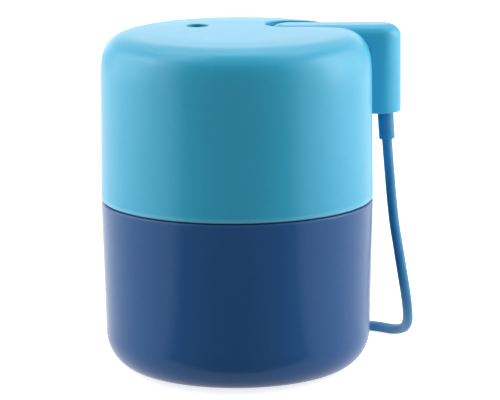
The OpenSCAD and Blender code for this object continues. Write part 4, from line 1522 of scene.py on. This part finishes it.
@dataclass
class Cup(Casing):
    """The shavings cup, with a rib that holds a magnet."""

    lean: float = 1.15 * MM
    corner_w: float = 13.1 * MM
    corner_h: float = 14.1 * MM
    wall: float = 2.5 * MM
    bore_r: float = 47.45 * MM
    rim_r: float = 0.5 * MM
    pad_r: float = 34.05 * MM
    skirt_low: float = 51.8 * MM
    rib_x: float = -41.25 * MM
    rib_half: float = 3.0 * MM
    rib_top: float = 55.0 * MM
    rib_round: float = 0.6 * MM
    magnet_x: float = -44.35 * MM
    magnet_r: float = 2.0 * MM
    magnet_low: float = 53.5 * MM
    keep_from: float = 2.0 * MM

    def build(self) -> list[bpy.types.Object]:
        """Makes the cup.

        Returns:
            The cup's piece, alone in a list.
        """
        shape = Shape.turned(self.outline())
        shape.cut(self.rib(), Join.ADD)
        pocket = circle((self.magnet_x, 0.0), self.magnet_r, 48)
        shape.cut(Shape.prism(pocket, self.magnet_low, self.rib_top + CLEAR))
        piece = shape.finished("shavings_cup", NAVY)
        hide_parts("shavings_bin")
        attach(piece, "bin")
        return [piece]

    def base(self, inset: float, start: float, stop: float, steps: int) -> list[Point2]:
        """Gives the outline of the rounded bottom corner.

        Args:
            inset: How far the outline is moved in.
            start: First direction, in degrees.
            stop: Last direction, in degrees.
            steps: Stretches between the points.

        Returns:
            The outline's points.
        """
        w, h = self.corner_w, self.corner_h
        centre = (self.body_r - self.lean - w, self.base_z + h)
        return arc(centre, w - inset, h - inset, start, stop, steps)

    def outline(self) -> list[Point2]:
        """Gives the cup's outline from the pad's recess, over the rim and back inside.

        Returns:
            The outline's points.
        """
        lip_z, rim_z = self.seam_low - self.lip_r, self.seam_low - self.rim_r
        recess = [(self.pad_r, self.pad_t), (self.pad_r, self.base_z)]
        outer = self.base(0.0, -90.0, 0.0, 32)
        side = slope((self.body_r - self.lean, self.base_z + self.corner_h), (self.body_r, lip_z))
        rim = corner((self.body_r - self.lip_r, lip_z), self.lip_r, 0.0, 90.0, 6)
        inner_rim = corner((self.bore_r + self.rim_r, rim_z), self.rim_r, 90.0, 180.0, 4)
        inner = [(self.bore_r, self.skirt_low), *self.base(self.wall, 0.0, -90.0, 24)]
        return recess + outer + side + rim + inner_rim + inner

    def rib(self) -> Shape:
        """Makes the magnet's rib, which ends in the middle of the cup's wall.

        Returns:
            The rib as a solid.
        """
        half_wall, top = self.wall / 2, self.rib_top + CLEAR
        outer_x = -self.bore_r - self.rib_round
        low = (outer_x, -self.rib_half, self.base_z + CLEAR)
        block = Shape.block(low, (self.rib_x, self.rib_half, self.rib_top))
        block.round_edges(
            self.rib_round, lambda p: p.x > self.rib_x - CLEAR or p.z > self.rib_top - self.near, 3
        )
        keep = self.base(half_wall, -90.0, 0.0, 24)
        keep = [(self.keep_from, keep[0][1]), *keep]
        keep += [(self.body_r - half_wall, top), (self.keep_from, top)]
        return block.cut(Shape.turned(keep), Join.KEEP)


@dataclass
class BasePad(Casing):
    """The rubber pad under the cup, with anti-slip grooves."""

    pad_r: float = 34.0 * MM
    edge_r: float = 0.4 * MM
    eye_r: float = 2.0 * MM
    grooves: int = 5
    groove_margin: float = 4.0 * MM
    groove_span: float = 6.0 * MM
    groove_top: float = 0.8 * MM
    groove_floor: float = 0.5 * MM
    groove_deep: float = 0.4 * MM

    def build(self) -> list[bpy.types.Object]:
        """Makes the pad.

        Returns:
            The pad's piece, alone in a list.
        """
        outline = [(self.eye_r, self.pad_t), (self.pad_r, self.pad_t)]
        outline += corner((self.pad_r - self.edge_r, self.edge_r), self.edge_r, 0.0, -90.0, 3)
        pitch = (self.pad_r - self.groove_span) / self.grooves
        for i in range(self.grooves):
            middle = self.pad_r - self.groove_margin - pitch * i
            outline += [
                (middle + self.groove_top, 0.0),
                (middle + self.groove_floor, self.groove_deep),
                (middle - self.groove_floor, self.groove_deep),
                (middle - self.groove_top, 0.0),
            ]
        outline.append((self.eye_r, 0.0))
        piece = Shape.turned(outline).finished("rubber_pad", RUBBER)
        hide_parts("base_pad")
        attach(piece, "bin")
        return [piece]


@dataclass
class PowerArm(Casing):
    """The arm that lies in the cover's channel and carries the cord."""

    top_z: float = 125.3 * MM
    half_w: float = 8.45 * MM
    inner_x: float = 12.0 * MM
    outer_x: float = 61.2 * MM
    foot_z: float = 92.5 * MM
    hug_r: float = 50.6 * MM
    wall: float = 1.8 * MM
    edge_w: float = 5.0 * MM
    edge_h: float = 4.5 * MM
    foot_round: float = 0.7 * MM
    inner_round: float = 3.0 * MM
    relief_x: float = 55.41 * MM
    relief_r: float = 3.02 * MM
    relief_l: float = 10.7 * MM
    relief_lean: float = 3.35
    root: tuple[Point2, ...] = ((1.9 * MM, 1.5 * MM), (2.92 * MM, 1.5 * MM), (2.92 * MM, -0.1 * MM))
    collar_r: float = 0.35 * MM
    collar_z: float = -0.2 * MM
    waist: tuple[Point2, ...] = ((0.03 * MM, 0.35), (0.06 * MM, 0.7))
    tip_in: float = 0.05 * MM
    tip_r: float = 0.55 * MM
    dish: tuple[Point2, ...] = ((2.15 * MM, 0.0), (2.0 * MM, 0.35 * MM))

    def build(self) -> list[bpy.types.Object]:
        """Makes the arm's shell and its strain relief.

        Returns:
            The pieces.
        """
        pieces = [self.shell(), self.relief()]
        for piece in pieces:
            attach(piece, "power_arm")
        return pieces

    def hug(self, gap: float, low: float) -> Shape:
        """Makes the round space under the bar that the body fills, widened by a gap."""
        return Shape.prism(circle((0.0, 0.0), self.hug_r + gap, SPIN_STEPS), low, self.arm_floor_z)

    def shell(self) -> bpy.types.Object:
        """Makes the shell: a bar with a rounded top edge, and a block that hugs the body.

        Returns:
            The shell's piece.
        """
        wall, foot, top = self.wall, self.foot_z, self.top_z
        outline = stadium(self.inner_x, self.outer_x, self.arm_y, self.half_w, 56)
        shape = Shape.prism(outline, foot, top)
        shape.round_edges(self.edge_w, lambda p: p.z > top - self.near, 12)
        for vert in shape.bm.verts:
            if vert.co.z > top - self.edge_w - WELD:
                vert.co.z = top - (top - vert.co.z) * self.edge_h / self.edge_w
        shape.cut(self.hug(0.0, foot - CLEAR))
        shape.round_edges(self.foot_round, lambda p: p.z < self.arm_floor_z - CLEAR, 4)
        inset = stadium(self.inner_x + wall, self.outer_x - wall, self.arm_y, self.half_w - wall)
        hollow = Shape.prism(inset, foot - CLEAR, top - wall)
        hollow.round_edges(self.inner_round, lambda p: p.z > top - wall - self.near, 6)
        shape.cut(hollow.cut(self.hug(wall, foot - 2 * CLEAR)))
        piece = shape.finished("arm_casing", SKY)
        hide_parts("arm_shell")
        return piece

    def relief(self) -> bpy.types.Object:
        """Makes the strain relief, slightly waisted, with a collar at its root and a dished end.

        Returns:
            The relief's piece.
        """
        r, long, collar, tip = self.relief_r, self.relief_l, self.collar_r, self.tip_r
        collar_at = (r - collar, self.collar_z - collar)
        tip_at = (r - self.tip_in - tip, tip - long)
        outline = [*self.root, *corner(collar_at, collar, 90.0, 0.0, 3)]
        outline += [(r - slimmer, -share * long) for slimmer, share in self.waist]
        outline += corner(tip_at, tip, 0.0, -90.0, 5)
        outline += [(dish_r, deep - long) for dish_r, deep in self.dish]
        shape = Shape.turned(outline, steps=72)
        place = Matrix.Translation((self.relief_x, self.arm_y, self.foot_z))
        shape.moved(place @ turned_by(-self.relief_lean, "Y"))
        piece = shape.finished("cord_relief", BLUE_JACKET)
        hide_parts("strain_relief")
        return piece


# ---------------------------------------------------------------- mechanism


def numbered(stem: str, count: int) -> list[str]:
    """Gives the names of like pieces, numbered from 1."""
    return [f"{stem}_{i + 1}" for i in range(count)]


@dataclass
class Mechanism:
    """The inner pieces, which keep their solid's shape and take their finishes."""

    finishes: tuple[tuple[Finish, tuple[str, ...]], ...] = (
        (SKY, ("arm_liner", "arm_foot")),
        (GRAPHITE, (
            "pencil_guide", "chassis", "start_switch", "reed_switch", "power_socket", "arm_plug",
            "board_chip", "board_capacitor", "motor_magnets",
        )),
        (ACETAL, (
            "ring_gear", "motor_end_cap", "carrier_frame", "carrier_gear", "cutter_pinion",
            "idler_gear",
        )),
        (RUBBER, ("grip_ring",)),
        (STEEL, ("lower_plate", "upper_plate", "motor_can", "start_lever")),
        (TURNED_STEEL, (
            "bin_magnet", *numbered("pillar", 4), *numbered("post", 3),
            *numbered("plate_screw", 3), *numbered("cover_screw", 3),
            "idler_axle", "cutter_axle", "helical_cutter", "motor_shaft",
        )),
        (BRASS, ("lower_bush", "upper_bush", "motor_pinion", "socket_contacts", "arm_contacts")),
        (COPPER, ("rotor_core",)),
        (BOARD, ("circuit_board",)),
        (RED_WIRE, ("supply_wires",)),
        (BLACK_WIRE, ("motor_wires",)),
        (RED_BUTTON, ("switch_button",)),
    )

    def build(self) -> list[bpy.types.Object]:
        """Puts each inner piece in its finish.

        Returns:
            The pieces.
        """
        pieces = []
        for finish, names in self.finishes:
            for name in names:
                finish.dress(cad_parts[name])
                pieces.append(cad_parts[name])
        return pieces


def main() -> None:
    """Builds the studio and every sub-assembly, and reports each piece."""
    logging.basicConfig(level=logging.INFO, format="%(message)s")
    Studio().build()
    LOG.info("studio: ready")
    for part in (PowerCord(), Cup(), BasePad(), Cover(), PowerArm(), Mechanism()):
        for piece in part.build():
            finish = piece.data.materials[0].name
            LOG.info("%s: %s in %s", type(part).__name__, piece.name, finish)


if __name__ == "__main__":
    main()
